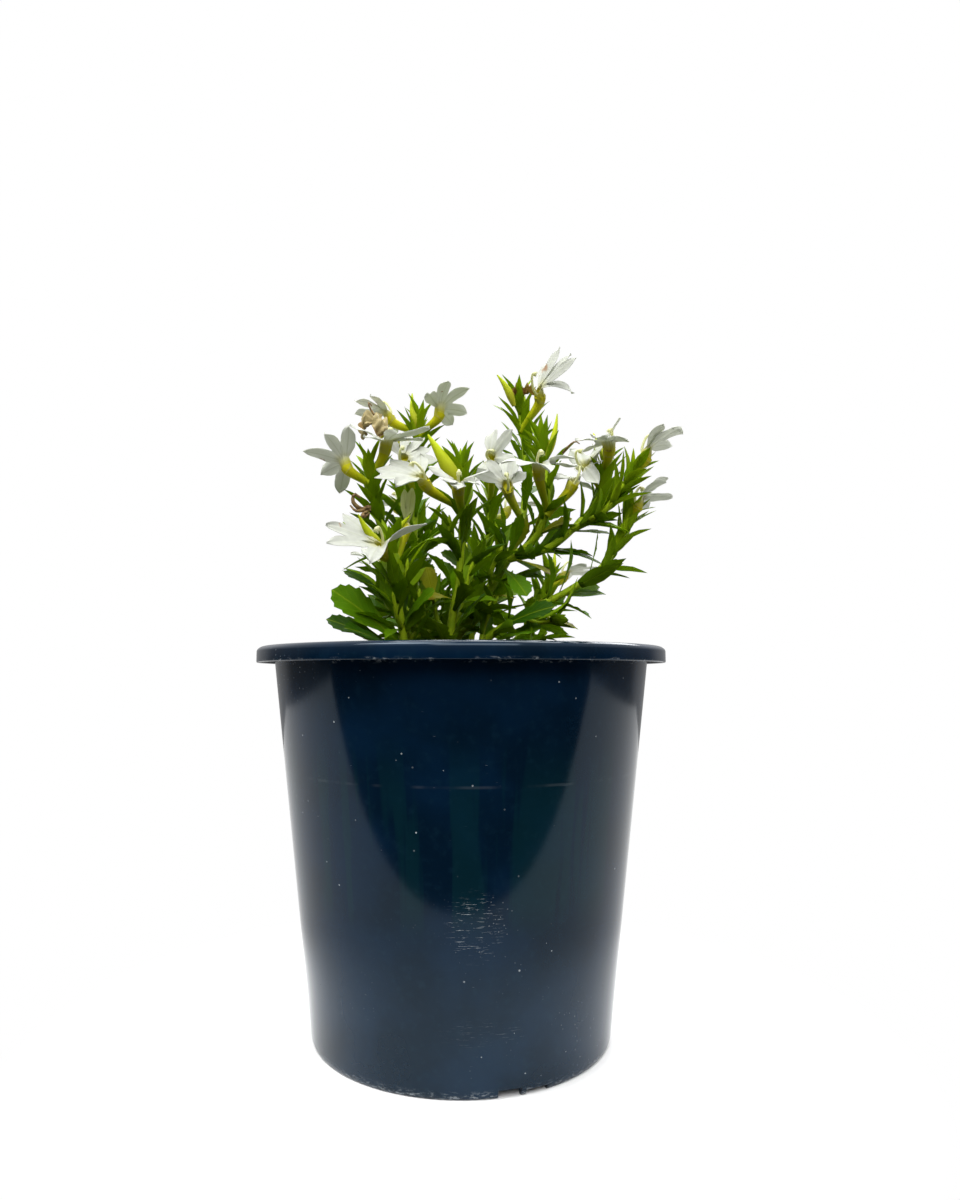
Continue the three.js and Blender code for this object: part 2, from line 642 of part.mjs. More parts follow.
// Where the leaves of a shoot stand, spiralling down from its tip.
function leafPlaces(length, olderBy) {
  const places = [];
  let fromTip = 0.9;
  let turn = 60 * random();
  while (fromTip < length - 3) {
    const age = fromTip + olderBy;
    const [size, width, angle, step] = atAge(age);
    places.push({
      distance: length - fromTip,
      foot: Math.min(0.9 * step, LEAF_FOOT),
      turn,
      length: size * (1 + 0.12 * random()),
      width,
      angle: angle + 6 * random(),
      arch: 24 + 14 * random(),
      outline: age > TOOTHED_FROM ? TOOTHED_OUTLINE : BRACT_OUTLINE,
    });
    turn += GOLDEN_ANGLE + 8 * random();
    fromTip += step;
  }
  return places.reverse();
}

// The shape of a leaf on its shoot, turned, lifted and sized to keep clear, and the side that it grows from.
function leafShape(place, { centre, tangent }, radius, spin, lift, size) {
  const [first, second] = across(tangent);
  const sideTurn = 360 / STEM_SIDES;
  const whole = Math.floor((place.turn + spin) / sideTurn);
  const sideCentre = (whole + 0.5) * sideTurn;
  const around = sideCentre + 0.4 * (place.turn + spin - sideCentre);
  const out = first.multiplyScalar(cosine(around)).addScaledVector(second, sine(around));
  const tilt = place.angle + lift;
  return {
    face: ((whole % STEM_SIDES) + STEM_SIDES) % STEM_SIDES,
    root: centre.clone().addScaledVector(out, 0.9 * radius),
    along: tangent.clone().multiplyScalar(cosine(tilt)).addScaledVector(out, sine(tilt)),
    up: tangent.clone().multiplyScalar(sine(tilt)).addScaledVector(out, -cosine(tilt)),
    length: place.length * size,
    width: place.width * size,
    arch: place.arch,
    outline: place.outline,
  };
}

// The four corners that a leaf grows from, on one side of its length of the stem.
function rootCorners(low, high, face) {
  const next = (face + 1) % STEM_SIDES;
  return [high[next], high[face], low[face], low[next]];
}

// A shoot as one surface: each leaf grows out of one side of its own short length of the stem.
function leafyShoot({ path, foot, tip = TIP_RADIUS, age = 0 }, owner) {
  const line = walked(path);
  const surface = new Surface();
  const radiusAt = (distance) => foot + ((tip - foot) * distance) / line.length;
  const ringAt = (distance) => surface.ring({ ...placeOn(line, distance), radius: radiusAt(distance) });
  const base = ringAt(0);
  let low = base;
  let reached = 0;
  const growTo = (distance) => {
    const high = ringAt(distance);
    surface.wall(low, high);
    [low, reached] = [high, distance];
  };
  const leaves = [];
  for (const place of leafPlaces(line.length, age)) {
    const start = place.distance - place.foot / 2;
    if (start - reached > SHORTEST_LENGTH) growTo(start);
    const spot = placeOn(line, place.distance);
    const top = Math.min(reached + place.foot, line.length);
    const high = ringAt(top);
    const rings = [reached - STEM_TEST, reached, top, top + STEM_TEST].map((distance) => {
      const within = Math.min(Math.max(distance, 0), line.length);
      return { ...placeOn(line, within), radius: radiusAt(within) };
    });
    const stem = limb(rings.filter((ring, i) => i % 3 || !ring.centre.equals(rings[i ? 2 : 1].centre)));
    // Whether a leaf keeps out of the stem and of the other leaves of its shoot.
    const isFree = (shape) => {
      const leaf = new Surface();
      const corners = rootCorners(low, high, shape.face).map((corner) => leaf.point(surface.place(corner)));
      leaf.quad(...corners.toReversed());
      leaf.blade(shape, corners);
      const body = leaf.solid();
      if ([stem, ...leaves].some((other) => body.intersect(other).volume() > CROSSING)) return false;
      leaves.push(body);
      return true;
    };
    const makeShape = (...way) => leafShape(place, spot, radiusAt(place.distance), ...way);
    const shape = freeShape(clearShape(makeShape, owner, 0.2), isFree);
    surface.wall(low, high, shape ? shape.face : -1);
    if (shape) surface.blade(shape, rootCorners(low, high, shape.face));
    [low, reached] = [high, top];
  }
  if (line.length - reached > SHORTEST_LENGTH) growTo(line.length);
  surface.close(base, low);
  return surface.solid();
}

// A large leaf from its root to its tip, facing the given way.
function largeLeaf([stem, from, to, width, facing]) {
  const root = vector(from);
  const chord = vector(to).sub(root);
  const length = chord.length();
  const arch = 24;
  const makeShape = (spin, lift, size) => {
    const straight = chord.clone().normalize();
    const flat = vector(facing).addScaledVector(straight, -straight.dot(vector(facing))).normalize();
    const side = new THREE.Vector3().crossVectors(straight, flat);
    const aside = straight.multiplyScalar(cosine(spin)).addScaledVector(side, sine(spin));
    const rise = arch / 2 - lift;
    const along = aside.clone().multiplyScalar(cosine(rise)).addScaledVector(flat, sine(rise));
    const up = flat.clone().multiplyScalar(cosine(rise)).addScaledVector(aside, -sine(rise));
    return { root, along, up, length: length * size, width: width * size, arch, outline: LARGE_OUTLINE };
  };
  const shape = clearShape(makeShape, stem, 0.15);
  if (!shape) return [];
  const surface = new Surface();
  surface.blade(shape);
  return [surface.solid()];
}

// A closed bud, a horn that swells below the middle.
function budRings([, from, to, radius]) {
  const foot = vector(from);
  const tip = vector(to);
  const tangent = tip.clone().sub(foot).normalize();
  const reference = new THREE.Vector3(tangent.z, 0, -tangent.x);
  const shares = [[0, 0.5], [0.35, 1], [0.7, 0.62], [1, 0.16]];
  return shares.map(([share, swell]) => {
    return { centre: foot.clone().lerp(tip, share), tangent, radius: radius * swell, reference };
  });
}

// A flower's directions and its tube's mouth: along the tube, out of the mouth, and over the fan.
function directionsOf({ foot, heart, fan, face }) {
  const tube = vector(heart).sub(vector(foot)).normalize();
  const forward = vector(fan).normalize();
  const normal = vector(face).addScaledVector(forward, -forward.dot(vector(face))).normalize();
  const side = new THREE.Vector3().crossVectors(forward, normal);
  const out = tube.clone().addScaledVector(normal, 1.4).normalize();
  const mouth = vector(heart).addScaledVector(out, -FIT - THROAT_LENGTH);
  return { tube, out, forward, normal, side, mouth };
}

// The tube of a flower, from the stem to its mouth, where it turns towards the flower's face.
function tubeRings(bloom) {
  const { tube, out, mouth } = directionsOf(bloom);
  const reference = new THREE.Vector3().crossVectors(tube, out).normalize();
  const foot = vector(bloom.foot);
  const neck = foot.clone().lerp(mouth, 0.6);
  return [
    { centre: foot, tangent: tube, radius: TUBE_FOOT_RADIUS, reference },
    { centre: neck, tangent: tube, radius: 0.75 * TUBE_MOUTH_RADIUS, reference },
    { centre: mouth, tangent: out, radius: TUBE_MOUTH_RADIUS, reference },
  ];
}

// The middle line and the outline of each petal of a flower, held clear of what is placed already.
function petalShapes(bloom, root, outAt, normal) {
  const count = bloom.petals ?? PETALS;
  const step = bloom.spread / (count - 1);
  const room = bloom.petal * sine(step / 2);
  const shapes = [];
  for (let i = 0; i < count; i++) {
    const centre = (i - (count - 1) / 2) * step + 2 * random();
    const grown = 1 + 0.06 * random();
    const lean = bloom.lift + 4 * random();
    const makeShape = (spin, lift, size) => {
      const out = outAt(centre + 0.06 * spin);
      const tilt = lean - lift;
      const along = out.clone().multiplyScalar(cosine(tilt)).addScaledVector(normal, sine(tilt));
      const up = normal.clone().multiplyScalar(cosine(tilt)).addScaledVector(out, -sine(tilt));
      const length = bloom.petal * grown * size;
      return { root, along, up, length, width: Math.min(PETAL_WIDTH, room * size), arch: bloom.arch };
    };
    shapes.push(clearShape(makeShape, bloom.name, 0.3) ?? makeShape(0, 0, 0.5));
  }
  return shapes;
}

// The white part of a flower, one surface: a throat that stands on the tube's mouth, a small web, and
// petals that fan out on one side of it.
function bloomSolid(bloom) {
  const { out, forward, normal, side, mouth } = directionsOf(bloom);
  const seat = mouth.addScaledVector(out, FIT);
  const root = vector(bloom.heart);
  const outAt = (turn) => forward.clone().multiplyScalar(cosine(turn)).addScaledVector(side, sine(turn));
  const shapes = petalShapes(bloom, root, outAt, normal);
  const step = bloom.spread / (shapes.length - 1);
  const surface = new Surface();
  const half = BLADE_THICKNESS / 2;
  const both = (middle, facing) => {
    return [half, -half].map((rise) => surface.point(middle.clone().addScaledVector(facing, rise)));
  };
  const ahead = forward.clone().addScaledVector(out, -forward.dot(out)).normalize();
  const beside = new THREE.Vector3().crossVectors(ahead, out);
  const seatAt = (turn) => {
    const reach = ahead.clone().multiplyScalar(cosine(turn)).addScaledVector(beside, sine(turn));
    return surface.point(seat.clone().addScaledVector(reach, SEAT_RADIUS));
  };
  const web = [both(root.clone().addScaledVector(forward, -0.6 * THROAT_RADIUS), normal)];
  const socket = [seatAt(180)];
  for (let i = 0; i <= shapes.length; i++) {
    const turn = (i - shapes.length / 2) * step;
    web.push(both(root.clone().addScaledVector(outAt(turn), THROAT_RADIUS), normal));
    socket.push(seatAt(turn));
  }
  for (let i = 0; i < web.length; i++) {
    const next = (i + 1) % web.length;
    surface.quad(web[i][1], web[next][1], socket[next], socket[i]);
    if (i > 0 && next > 0) {
      surface.triangles.push([socket[0], socket[i], socket[next]], [web[0][0], web[next][0], web[i][0]]);
    } else {
      surface.quad(web[i][0], web[next][0], web[next][1], web[i][1]);
    }
  }
  shapes.forEach((shape, i) => {
    const hand = new THREE.Vector3().crossVectors(shape.along, shape.up);
    let [left, right] = [web[i + 1], web[i + 2]];
    for (const [share, breadth] of PETAL_OUTLINE) {
      const { middle, normal: facing } = bladeAt(shape, share);
      const reach = (breadth * shape.width) / 2;
      const farLeft = both(middle.clone().addScaledVector(hand, -reach), facing);
      const farRight = breadth > 0 ? both(middle.clone().addScaledVector(hand, reach), facing) : farLeft;
      surface.quad(left[0], right[0], farRight[0], farLeft[0]);
      surface.triangles.push([left[1], farRight[1], right[1]], [left[1], farLeft[1], farRight[1]]);
      surface.quad(right[1], farRight[1], farRight[0], right[0]);
      surface.quad(left[0], farLeft[0], farLeft[1], left[1]);
      [left, right] = [farLeft, farRight];
    }
  });
  return surface.solid();
}

makePot();
makePottingMix();

// The stems' room is kept first, so that flowers and then leaves are held clear of them.
const growth = new Map();
for (const { name, shoots } of STEMS) {
  growth.set(name, [peg(shoots[0], MIX_TOP - ROOT_DEPTH + FIT, COLLAR + 0.5)]);
  for (const { path, foot } of shoots) {
    const { points } = walked(path);
    remember(samplesOfLimb(points.map((centre) => ({ centre, radius: foot })), name));
  }
}
const blooms = BLOOMS.map((bloom, i) => ({ ...bloom, name: `bloom_${String(i + 1).padStart(2, "0")}` }));
blooms.push({ ...SPENT_BLOOM, name: "spent_bloom" });
for (const bloom of blooms) {
  const rings = tubeRings(bloom);
  growth.get(bloom.stem).push(limb(rings));
  remember(samplesOfLimb(rings, bloom.stem));
  remember([{ point: vector(bloom.heart), owner: bloom.name, share: 0, radius: 0.6 * THROAT_RADIUS }]);
}
for (const bud of BUDS) {
  const rings = budRings(bud);
  growth.get(bud[0]).push(limb(rings));
  remember(samplesOfLimb(rings, bud[0]));
}
for (const bloom of blooms) {
  const petals = bloom.name === "spent_bloom" ? COLOURS.spentPetal : COLOURS.petal;
  addNode(bloom.name, bloomSolid(bloom), bloom.young ? COLOURS.youngPetal : petals);
}
for (const leaf of LARGE_LEAVES) growth.get(leaf[0]).push(...largeLeaf(leaf));
for (const { name, shoots } of STEMS) {
  for (const shoot of shoots) growth.get(name).push(leafyShoot(shoot, name));
}
for (const [name, pieces] of growth) addNode(name, wasm.Manifold.union(pieces), COLOURS.foliage);

export default plant;
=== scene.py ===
# %% [markdown]
# # A potted fan flower
#
# This lesson dresses a potted fan flower: a bushy plant with white flowers whose five petals all stand
# on one side of the tube, like a hand. It grows in a dark navy nursery pot of glossy plastic.
# The solids of the part are already there as a fixed frame. Every piece here is made in the same place
# and in the same units, and stands for the solid of the same name.

# %% Load the frame
import itertools
import math

import bmesh
import bpy
import numpy as np
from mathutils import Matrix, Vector


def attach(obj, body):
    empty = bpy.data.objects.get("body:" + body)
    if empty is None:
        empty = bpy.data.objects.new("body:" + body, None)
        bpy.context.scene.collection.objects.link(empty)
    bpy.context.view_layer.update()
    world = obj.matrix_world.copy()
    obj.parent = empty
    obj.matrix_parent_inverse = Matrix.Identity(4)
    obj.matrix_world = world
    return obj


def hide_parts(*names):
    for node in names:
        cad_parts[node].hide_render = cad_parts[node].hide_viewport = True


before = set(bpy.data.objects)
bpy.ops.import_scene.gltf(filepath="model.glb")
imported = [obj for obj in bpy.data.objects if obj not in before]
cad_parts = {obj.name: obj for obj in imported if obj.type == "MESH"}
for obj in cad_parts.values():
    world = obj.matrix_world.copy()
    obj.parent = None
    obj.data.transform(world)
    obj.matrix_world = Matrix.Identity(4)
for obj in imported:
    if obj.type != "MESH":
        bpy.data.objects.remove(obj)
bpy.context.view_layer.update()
MM = 0.001

# %% [markdown]
# ## The camera
#
# The photograph was taken close by, level, from a little below the top of the pot. A wide lens near the
# pot shows its rim from just underneath and its foot from above, and a long lens far away wouldn't.
# So the distance comes first, and the lens and the shift only set the framing.

# %% The camera
def in_scene(name, data):
    """An object with its data, in the scene."""
    made = bpy.data.objects.new(name, data)
    bpy.context.scene.collection.objects.link(made)
    return made


CAMERA_DISTANCE = 290 * MM
CAMERA_HEIGHT = 122.8 * MM
LENS = 24.7
SHIFT_ASIDE = 0.0158
SHIFT_UP = 0.0645
camera_data = bpy.data.cameras.new("camera")
camera_data.lens = LENS
camera_data.shift_x = SHIFT_ASIDE
camera_data.shift_y = SHIFT_UP
camera_data.clip_start = 10 * MM
camera = in_scene("camera", camera_data)
camera.location = (0, -CAMERA_DISTANCE, CAMERA_HEIGHT)
camera.rotation_euler = (math.radians(90), 0, 0)
bpy.context.scene.camera = camera
print("camera", tuple(camera.location), "lens", camera_data.lens)

# %% [markdown]
# ## Nodes written as plain maths
#
# Materials and Geometry Nodes are both trees of small nodes, slow to link by hand and hard to read. So
# one small class wraps a socket of either. Adding two of them makes the node that adds, and so on.

# %% A socket that does maths
class Value:
    """A number, vector or colour on its way through a node tree."""

    def __init__(self, tree, socket):
        self.tree = tree
        self.socket = socket

    @property
    def is_vector(self):
        return self.socket.type in ("VECTOR", "RGBA", "ROTATION")

    def math(self, operation, *others):
        return Tree(self.tree).node("ShaderNodeMath", {"operation": operation}, self, *others)

    def pair(self, operation, first, second):
        sides = (first, second)
        vectors = any(isinstance(side, tuple) or getattr(side, "is_vector", False) for side in sides)
        kind = "ShaderNodeVectorMath" if vectors else "ShaderNodeMath"
        return Tree(self.tree).node(kind, {"operation": operation}, first, second)

    def __add__(self, other):
        return self.pair("ADD", self, other)

    def __radd__(self, other):
        return self.pair("ADD", other, self)

    def __sub__(self, other):
        return self.pair("SUBTRACT", self, other)

    def __rsub__(self, other):
        return self.pair("SUBTRACT", other, self)

    def __mul__(self, other):
        if self.is_vector and not isinstance(other, tuple) and not getattr(other, "is_vector", False):
            scaling = {"operation": "SCALE"}
            return Tree(self.tree).node("ShaderNodeVectorMath", scaling, Vector=self, Scale=other)
        if getattr(other, "is_vector", False) and not self.is_vector:
            return other * self
        return self.pair("MULTIPLY", self, other)

    __rmul__ = __mul__

    def __truediv__(self, other):
        return self.pair("DIVIDE", self, other)

    def __pow__(self, other):
        return self.math("POWER", other)

    def __abs__(self):
        return self.math("ABSOLUTE")

    def sin(self):
        return self.math("SINE")

    def cos(self):
        return self.math("COSINE")

    def above(self, limit):
        return self.math("GREATER_THAN", limit)

    def below(self, limit):
        return self.math("LESS_THAN", limit)

    def clamped(self):
        return Tree(self.tree).node("ShaderNodeClamp", {}, self)

    def ramp(self, low, high):
        """0 below low, 1 above high and a smooth step between them."""
        kind = {"interpolation_type": "SMOOTHSTEP"}
        return Tree(self.tree).node("ShaderNodeMapRange", kind, Value=self, From_Min=low, From_Max=high)

    def part(self, letter):
        """The X, Y or Z of a vector."""
        return Tree(self.tree).node("ShaderNodeSeparateXYZ", {}, self, output=letter)

    def output(self, name):
        return Value(self.tree, self.socket.node.outputs[name])


class Tree:
    """A node tree that is filled by calls."""

    def __init__(self, tree):
        self.tree = tree

    def node(self, kind, settings, *inputs, output=None, **named):
        """A node with its settings and inputs. In an input's name, _ stands for a space."""
        made = self.tree.nodes.new(kind)
        for name, value in settings.items():
            setattr(made, name, value)
        for i, value in enumerate(inputs):
            self.feed(made.inputs[i], value)
        for name, value in named.items():
            self.feed(made.inputs[name.replace("_", " ")], value)
        first = next(o for o in made.outputs if o.enabled) if output is None else made.outputs[output]
        return Value(self.tree, first)

    def feed(self, socket, value):
        if isinstance(value, Value):
            self.tree.links.new(value.socket, socket)
        elif value is not None:
            socket.default_value = value

    def mix(self, share, first, second):
        """The first colour where share is 0, the second where it is 1. A code such as 0x3f6e12 will do."""
        made = self.tree.nodes.new("ShaderNodeMix")
        made.data_type = "RGBA"
        self.feed(made.inputs[0], share)
        for i, paint in ((6, first), (7, second)):
            self.feed(made.inputs[i], colour(paint) if isinstance(paint, int) else paint)
        return Value(self.tree, made.outputs[2])

    def noise(self, place, scale, detail=3, roughness=0.5):
        return self.node("ShaderNodeTexNoise", {}, Vector=place, Scale=scale, Detail=detail,
                         Roughness=roughness)

    def spots(self, place, scale, radius):
        """1 within a radius of points that are strewn at random, 0 elsewhere."""
        return self.node("ShaderNodeTexVoronoi", {}, Vector=place, Scale=scale).below(radius)

    def attribute(self, name, output="Fac"):
        return self.node("ShaderNodeAttribute", {"attribute_name": name}, output=output)

    def bump(self, relief, strength, distance):
        """A normal that is bent by a relief, whose full height is a distance in millimetres."""
        return self.node("ShaderNodeBump", {}, Strength=strength, Distance=distance * MM, Height=relief)

    def plain(self, **looks):
        """The shader of an ordinary surface."""
        return self.node("ShaderNodeBsdfPrincipled", {}, **looks)

    def length(self, vector):
        return self.node("ShaderNodeVectorMath", {"operation": "LENGTH"}, vector, output="Value")

    def place(self):
        """The place on the piece, in millimetres."""
        return self.node("ShaderNodeTexCoord", {}, output="Object") * (1 / MM)

    def vector(self, x, y, z):
        return self.node("ShaderNodeCombineXYZ", {}, x, y, z)


def colour(code):
    """A linear colour from a screen colour such as 0x3f6e12."""
    channels = [((code >> shift) & 255) / 255 for shift in (16, 8, 0)]
    linear = [c / 12.92 if c <= 0.04045 else ((c + 0.055) / 1.055) ** 2.4 for c in channels]
    return (*linear, 1.0)


def new_material(name):
    """An empty material and its tree."""
    material = bpy.data.materials.new(name)
    material.use_nodes = True
    material.node_tree.nodes.clear()
    return material, Tree(material.node_tree)


def finish_material(tree, shader):
    output = tree.tree.nodes.new("ShaderNodeOutputMaterial")
    tree.tree.links.new(shader.socket, output.inputs["Surface"])


print("node maths ready")

# %% [markdown]
# ## The studio
#
# The object was photographed on a bright surface under soft light, and cut out against white. Its glossy
# pot mirrors what stands around it. Low down, its sides show the pale floor, and higher up in the middle
# they show the darkness past the floor's front edge. So the floor ends in front of the pot, out of view.
# It also ends a metre away to the sides and behind, where the two pale arms stop. Behind the pot it is
# bright, because the outermost edges of wall and rim are pale again. Near the pot the floor is lit like
# paper and takes its shadow. Further off it glows an even white.

# %% The floor
FLOOR_FRONT = -166
FLOOR_REACH = 950
LIT_WITHIN = 75
GLOWS_BEYOND = 150


def new_object(name, vertices, faces, material=None, smooth=True, edges=()):
    """A mesh object in the scene, from millimetres."""
    mesh = bpy.data.meshes.new(name)
    places = [tuple(float(x) * MM for x in vertex) for vertex in vertices]
    mesh.from_pydata(places, edges, [tuple(map(int, face)) for face in faces])
    mesh.polygons.foreach_set("use_smooth", [smooth] * len(mesh.polygons))
    mesh.update()
    if material:
        mesh.materials.append(material)
    return in_scene(name, mesh)


floor_material, nodes = new_material("pale floor")
spot = nodes.place()
paper = nodes.mix(nodes.noise(spot, 0.05, 4), 0xe4e4e3, 0xececeb)
lit_paper = nodes.plain(Roughness=0.75, Base_Color=paper)
white_paper = nodes.node("ShaderNodeEmission", {}, Color=(1, 1, 1, 1), Strength=1.0)
far_off = nodes.length(spot).ramp(LIT_WITHIN, GLOWS_BEYOND)
finish_material(nodes, nodes.node("ShaderNodeMixShader", {}, far_off, lit_paper, white_paper))
floor_corners = [(-FLOOR_REACH, FLOOR_FRONT, 0), (FLOOR_REACH, FLOOR_FRONT, 0),
                 (FLOOR_REACH, FLOOR_REACH, 0), (-FLOOR_REACH, FLOOR_REACH, 0)]
floor = new_object("floor", floor_corners, [(0, 1, 2, 3)], floor_material, smooth=False)
print("floor in front of the pot:", -FLOOR_FRONT, "mm")

# %% Lights
LIT_HEIGHT = 150 * MM
LIGHTS = [
    # name, place in metres, size in metres, watts
    ("key", (-0.35, -0.25, 1.0), 0.5, 9),
    ("front", (0.1, -0.7, 0.8), 0.7, 7.5),
    ("back", (0.15, 0.5, 0.8), 0.7, 9),
]
for name, at, size, watts in LIGHTS:
    light_data = bpy.data.lights.new(name, "AREA")
    light_data.size = size
    light_data.energy = watts
    light = in_scene(name, light_data)
    light.location = at
    aim = Vector((0, 0, LIT_HEIGHT)) - light.location
    light.rotation_euler = aim.to_track_quat("-Z", "Y").to_euler()
print("lights:", [light[0] for light in LIGHTS])

# %% The surroundings
SKY = (0.92, 0.93, 0.95, 1)
DARK_FRONT = 0.012
ASIDE_GLOW = 0.12
BEHIND_GLOW = 0.2
bpy.context.scene.view_settings.view_transform = "Standard"
world = bpy.data.worlds.new("surroundings")
bpy.context.scene.world = world
world.use_nodes = True
world.node_tree.nodes.clear()
nodes = Tree(world.node_tree)
direction = nodes.node("ShaderNodeTexCoord", {}, output="Generated")
upward = direction.part("Z").ramp(-0.02, 0.5)
behind = direction.part("Y")
horizon = behind.ramp(-0.1, 0.12) * ASIDE_GLOW + behind.ramp(0.5, 0.72) * BEHIND_GLOW + DARK_FRONT
around_object = nodes.mix(upward, nodes.vector(horizon, horizon, horizon), SKY)
seen = nodes.node("ShaderNodeLightPath", {}, output="Is Camera Ray")
glow = nodes.mix(seen, around_object, (1.0, 1.0, 1.0, 1))
background = nodes.node("ShaderNodeBackground", {}, glow)
world_output = world.node_tree.nodes.new("ShaderNodeOutputWorld")
world.node_tree.links.new(background.socket, world_output.inputs["Surface"])
print("nodes of the surroundings:", len(world.node_tree.nodes))

# %% [markdown]
# ## The pot
#
# A nursery pot is moulded in one shot: a thin wall with a straight taper, a flat rim whose edge is turned
# down, a foot ring with notches that let water out, and a floor with holes. Its section is drawn once and
# turned about the axis. Each corner gets the small radius of the mould, because an edge without one never
# catches the light. The notches and holes are cut afterwards.

# %% The pot's section
RIM_RADIUS = 70
POT_HEIGHT = 133
SKIRT_DEPTH = 5.3
WALL = 1.1
WALL_TOP_RADIUS = 64.3
FOOT_RADIUS = 51.7
FLOOR_UNDERSIDE = 3.2
FLOOR_TOP = 4.4
flange = POT_HEIGHT - 1.3
skirt_foot = POT_HEIGHT - SKIRT_DEPTH
# radius, height, rounding
POT_CORNERS = [
    (0, FLOOR_UNDERSIDE, 0),
    (FOOT_RADIUS - 2.5, FLOOR_UNDERSIDE, 0.5),
    (FOOT_RADIUS - 2, 0, 0.3),
    (FOOT_RADIUS - 0.5, 0, 0.6),
    (FOOT_RADIUS + 0.1, 1.4, 1.2),
    (WALL_TOP_RADIUS, flange, 0.7),
    (RIM_RADIUS - WALL, flange, 0.7),
    (RIM_RADIUS - WALL, skirt_foot, 0.25),
    (RIM_RADIUS, skirt_foot, 0.45),
    (RIM_RADIUS - 0.1, POT_HEIGHT - 1.1, 0.7),
    (RIM_RADIUS - 1.5, POT_HEIGHT, 0.8),
    (WALL_TOP_RADIUS - 0.6, POT_HEIGHT, 0.9),
    (WALL_TOP_RADIUS - WALL, POT_HEIGHT - 1.2, 0.8),
    (FOOT_RADIUS - WALL, FLOOR_TOP, 1.5),
    (0, FLOOR_TOP, 0),
]
POT_TURNS = 192
CORNER_STEPS = 4
LONGEST_RUN = 3.0


def rounded(corners):
    """The section as points, with each corner turned into a small curve."""
    points = []
    for i, (radius, height, rounding) in enumerate(corners):
        here = np.array([radius, height], float)
        if rounding == 0:
            points.append(here)
            continue
        before = np.array(corners[i - 1][:2], float) - here
        after = np.array(corners[i + 1][:2], float) - here
        reach = min(rounding, 0.45 * np.linalg.norm(before), 0.45 * np.linalg.norm(after))
        start = here + before / np.linalg.norm(before) * reach
        end = here + after / np.linalg.norm(after) * reach
        for step in range(CORNER_STEPS + 1):
            t = step / CORNER_STEPS
            points.append((1 - t) ** 2 * start + 2 * t * (1 - t) * here + t * t * end)
    return points


def supported(points):
    """Extra points on long straight runs, so that smooth shading stays true beside rounded corners."""
    made = [points[0]]
    for before, after in zip(points, points[1:]):
        pieces = max(1, math.ceil(np.linalg.norm(after - before) / LONGEST_RUN))
        made += [before + (after - before) * k / pieces for k in range(1, pieces + 1)]
    return made


def turned(section, turns):
    """Vertices and faces of a section turned about the Z axis, with its ends closed at the axis."""
    vertices, faces, rings = [], [], []
    for radius, height in section:
        if radius < 1e-6:
            rings.append([len(vertices)] * turns)
            vertices.append((0, 0, height))
            continue
        rings.append(list(range(len(vertices), len(vertices) + turns)))
        for k in range(turns):
            angle = math.tau * k / turns
            vertices.append((radius * math.cos(angle), radius * math.sin(angle), height))
    for low, high in zip(rings, rings[1:]):
        for k in range(turns):
            n = (k + 1) % turns
            corners = [low[k], low[n], high[n], high[k]]
            faces.append([c for j, c in enumerate(corners) if c not in corners[:j]])
    return vertices, faces


def plain_mesh(piece):
    """Turns what the modifiers show into the piece's own mesh and removes them."""
    bpy.context.view_layer.update()
    graph = bpy.context.evaluated_depsgraph_get()
    evaluated = piece.evaluated_get(graph)
    shown = bpy.data.meshes.new_from_object(evaluated, preserve_all_data_layers=True, depsgraph=graph)
    old = piece.data
    piece.modifiers.clear()
    piece.data = shown
    bpy.data.meshes.remove(old)
    shown.name = piece.name
    return piece


section = supported(rounded(POT_CORNERS))
pot = new_object("nursery_pot", *turned(section, POT_TURNS))
print("pot section", len(section), "points")

# %% Notches and drain holes
DRAIN_HOLES = 8
DRAIN_RADIUS = 4
DRAIN_CIRCLE = 38
DRAIN_SIDES = 24
FOOT_NOTCHES = 3
NOTCH_WIDTH = 16
NOTCH_HEIGHT = 2.6
LOW_NOTCH_HEIGHT = 1.7
NOTCH_DEPTH = 8
NOTCH_TOOTH = 1.4
FIRST_NOTCH = -69
SHARP_FROM = 35
BOX_FACES = [(0, 3, 2, 1), (4, 5, 6, 7), (0, 1, 5, 4), (1, 2, 6, 5), (2, 3, 7, 6), (3, 0, 4, 7)]
cut_vertices, cut_faces = [], []


def add_cut(vertices, faces):
    first = len(cut_vertices)
    cut_vertices.extend(vertices)
    cut_faces.extend([[first + i for i in face] for face in faces])


def add_notch(aside, width, height, turn):
    """A box across the foot ring, moved aside and then turned about the pot's axis."""
    turn = math.radians(turn)
    corners = []
    for z in (-height, height):
        for across, along in ((-0.5, -0.5), (0.5, -0.5), (0.5, 0.5), (-0.5, 0.5)):
            x = FOOT_RADIUS - 0.5 + across * NOTCH_DEPTH
            y = aside + along * width
            turned_x = x * math.cos(turn) - y * math.sin(turn)
            turned_y = x * math.sin(turn) + y * math.cos(turn)
            corners.append((turned_x, turned_y, z))
    add_cut(corners, BOX_FACES)


def add_drain_hole(turn):
    """A round bar through the floor, on the circle of holes."""
    ring = []
    for z in (FLOOR_UNDERSIDE - 1, FLOOR_TOP + 1):
        for k in range(DRAIN_SIDES):
            way = math.tau * k / DRAIN_SIDES
            x = DRAIN_CIRCLE * math.cos(turn) + DRAIN_RADIUS * math.cos(way)
            y = DRAIN_CIRCLE * math.sin(turn) + DRAIN_RADIUS * math.sin(way)
            ring.append((x, y, z))
    low, high = list(range(DRAIN_SIDES)), list(range(DRAIN_SIDES, 2 * DRAIN_SIDES))
    sides = [(low[k - 1], low[k], high[k], high[k - 1]) for k in range(DRAIN_SIDES)]
    add_cut(ring, sides[1:] + sides[:1] + [low[::-1], high])


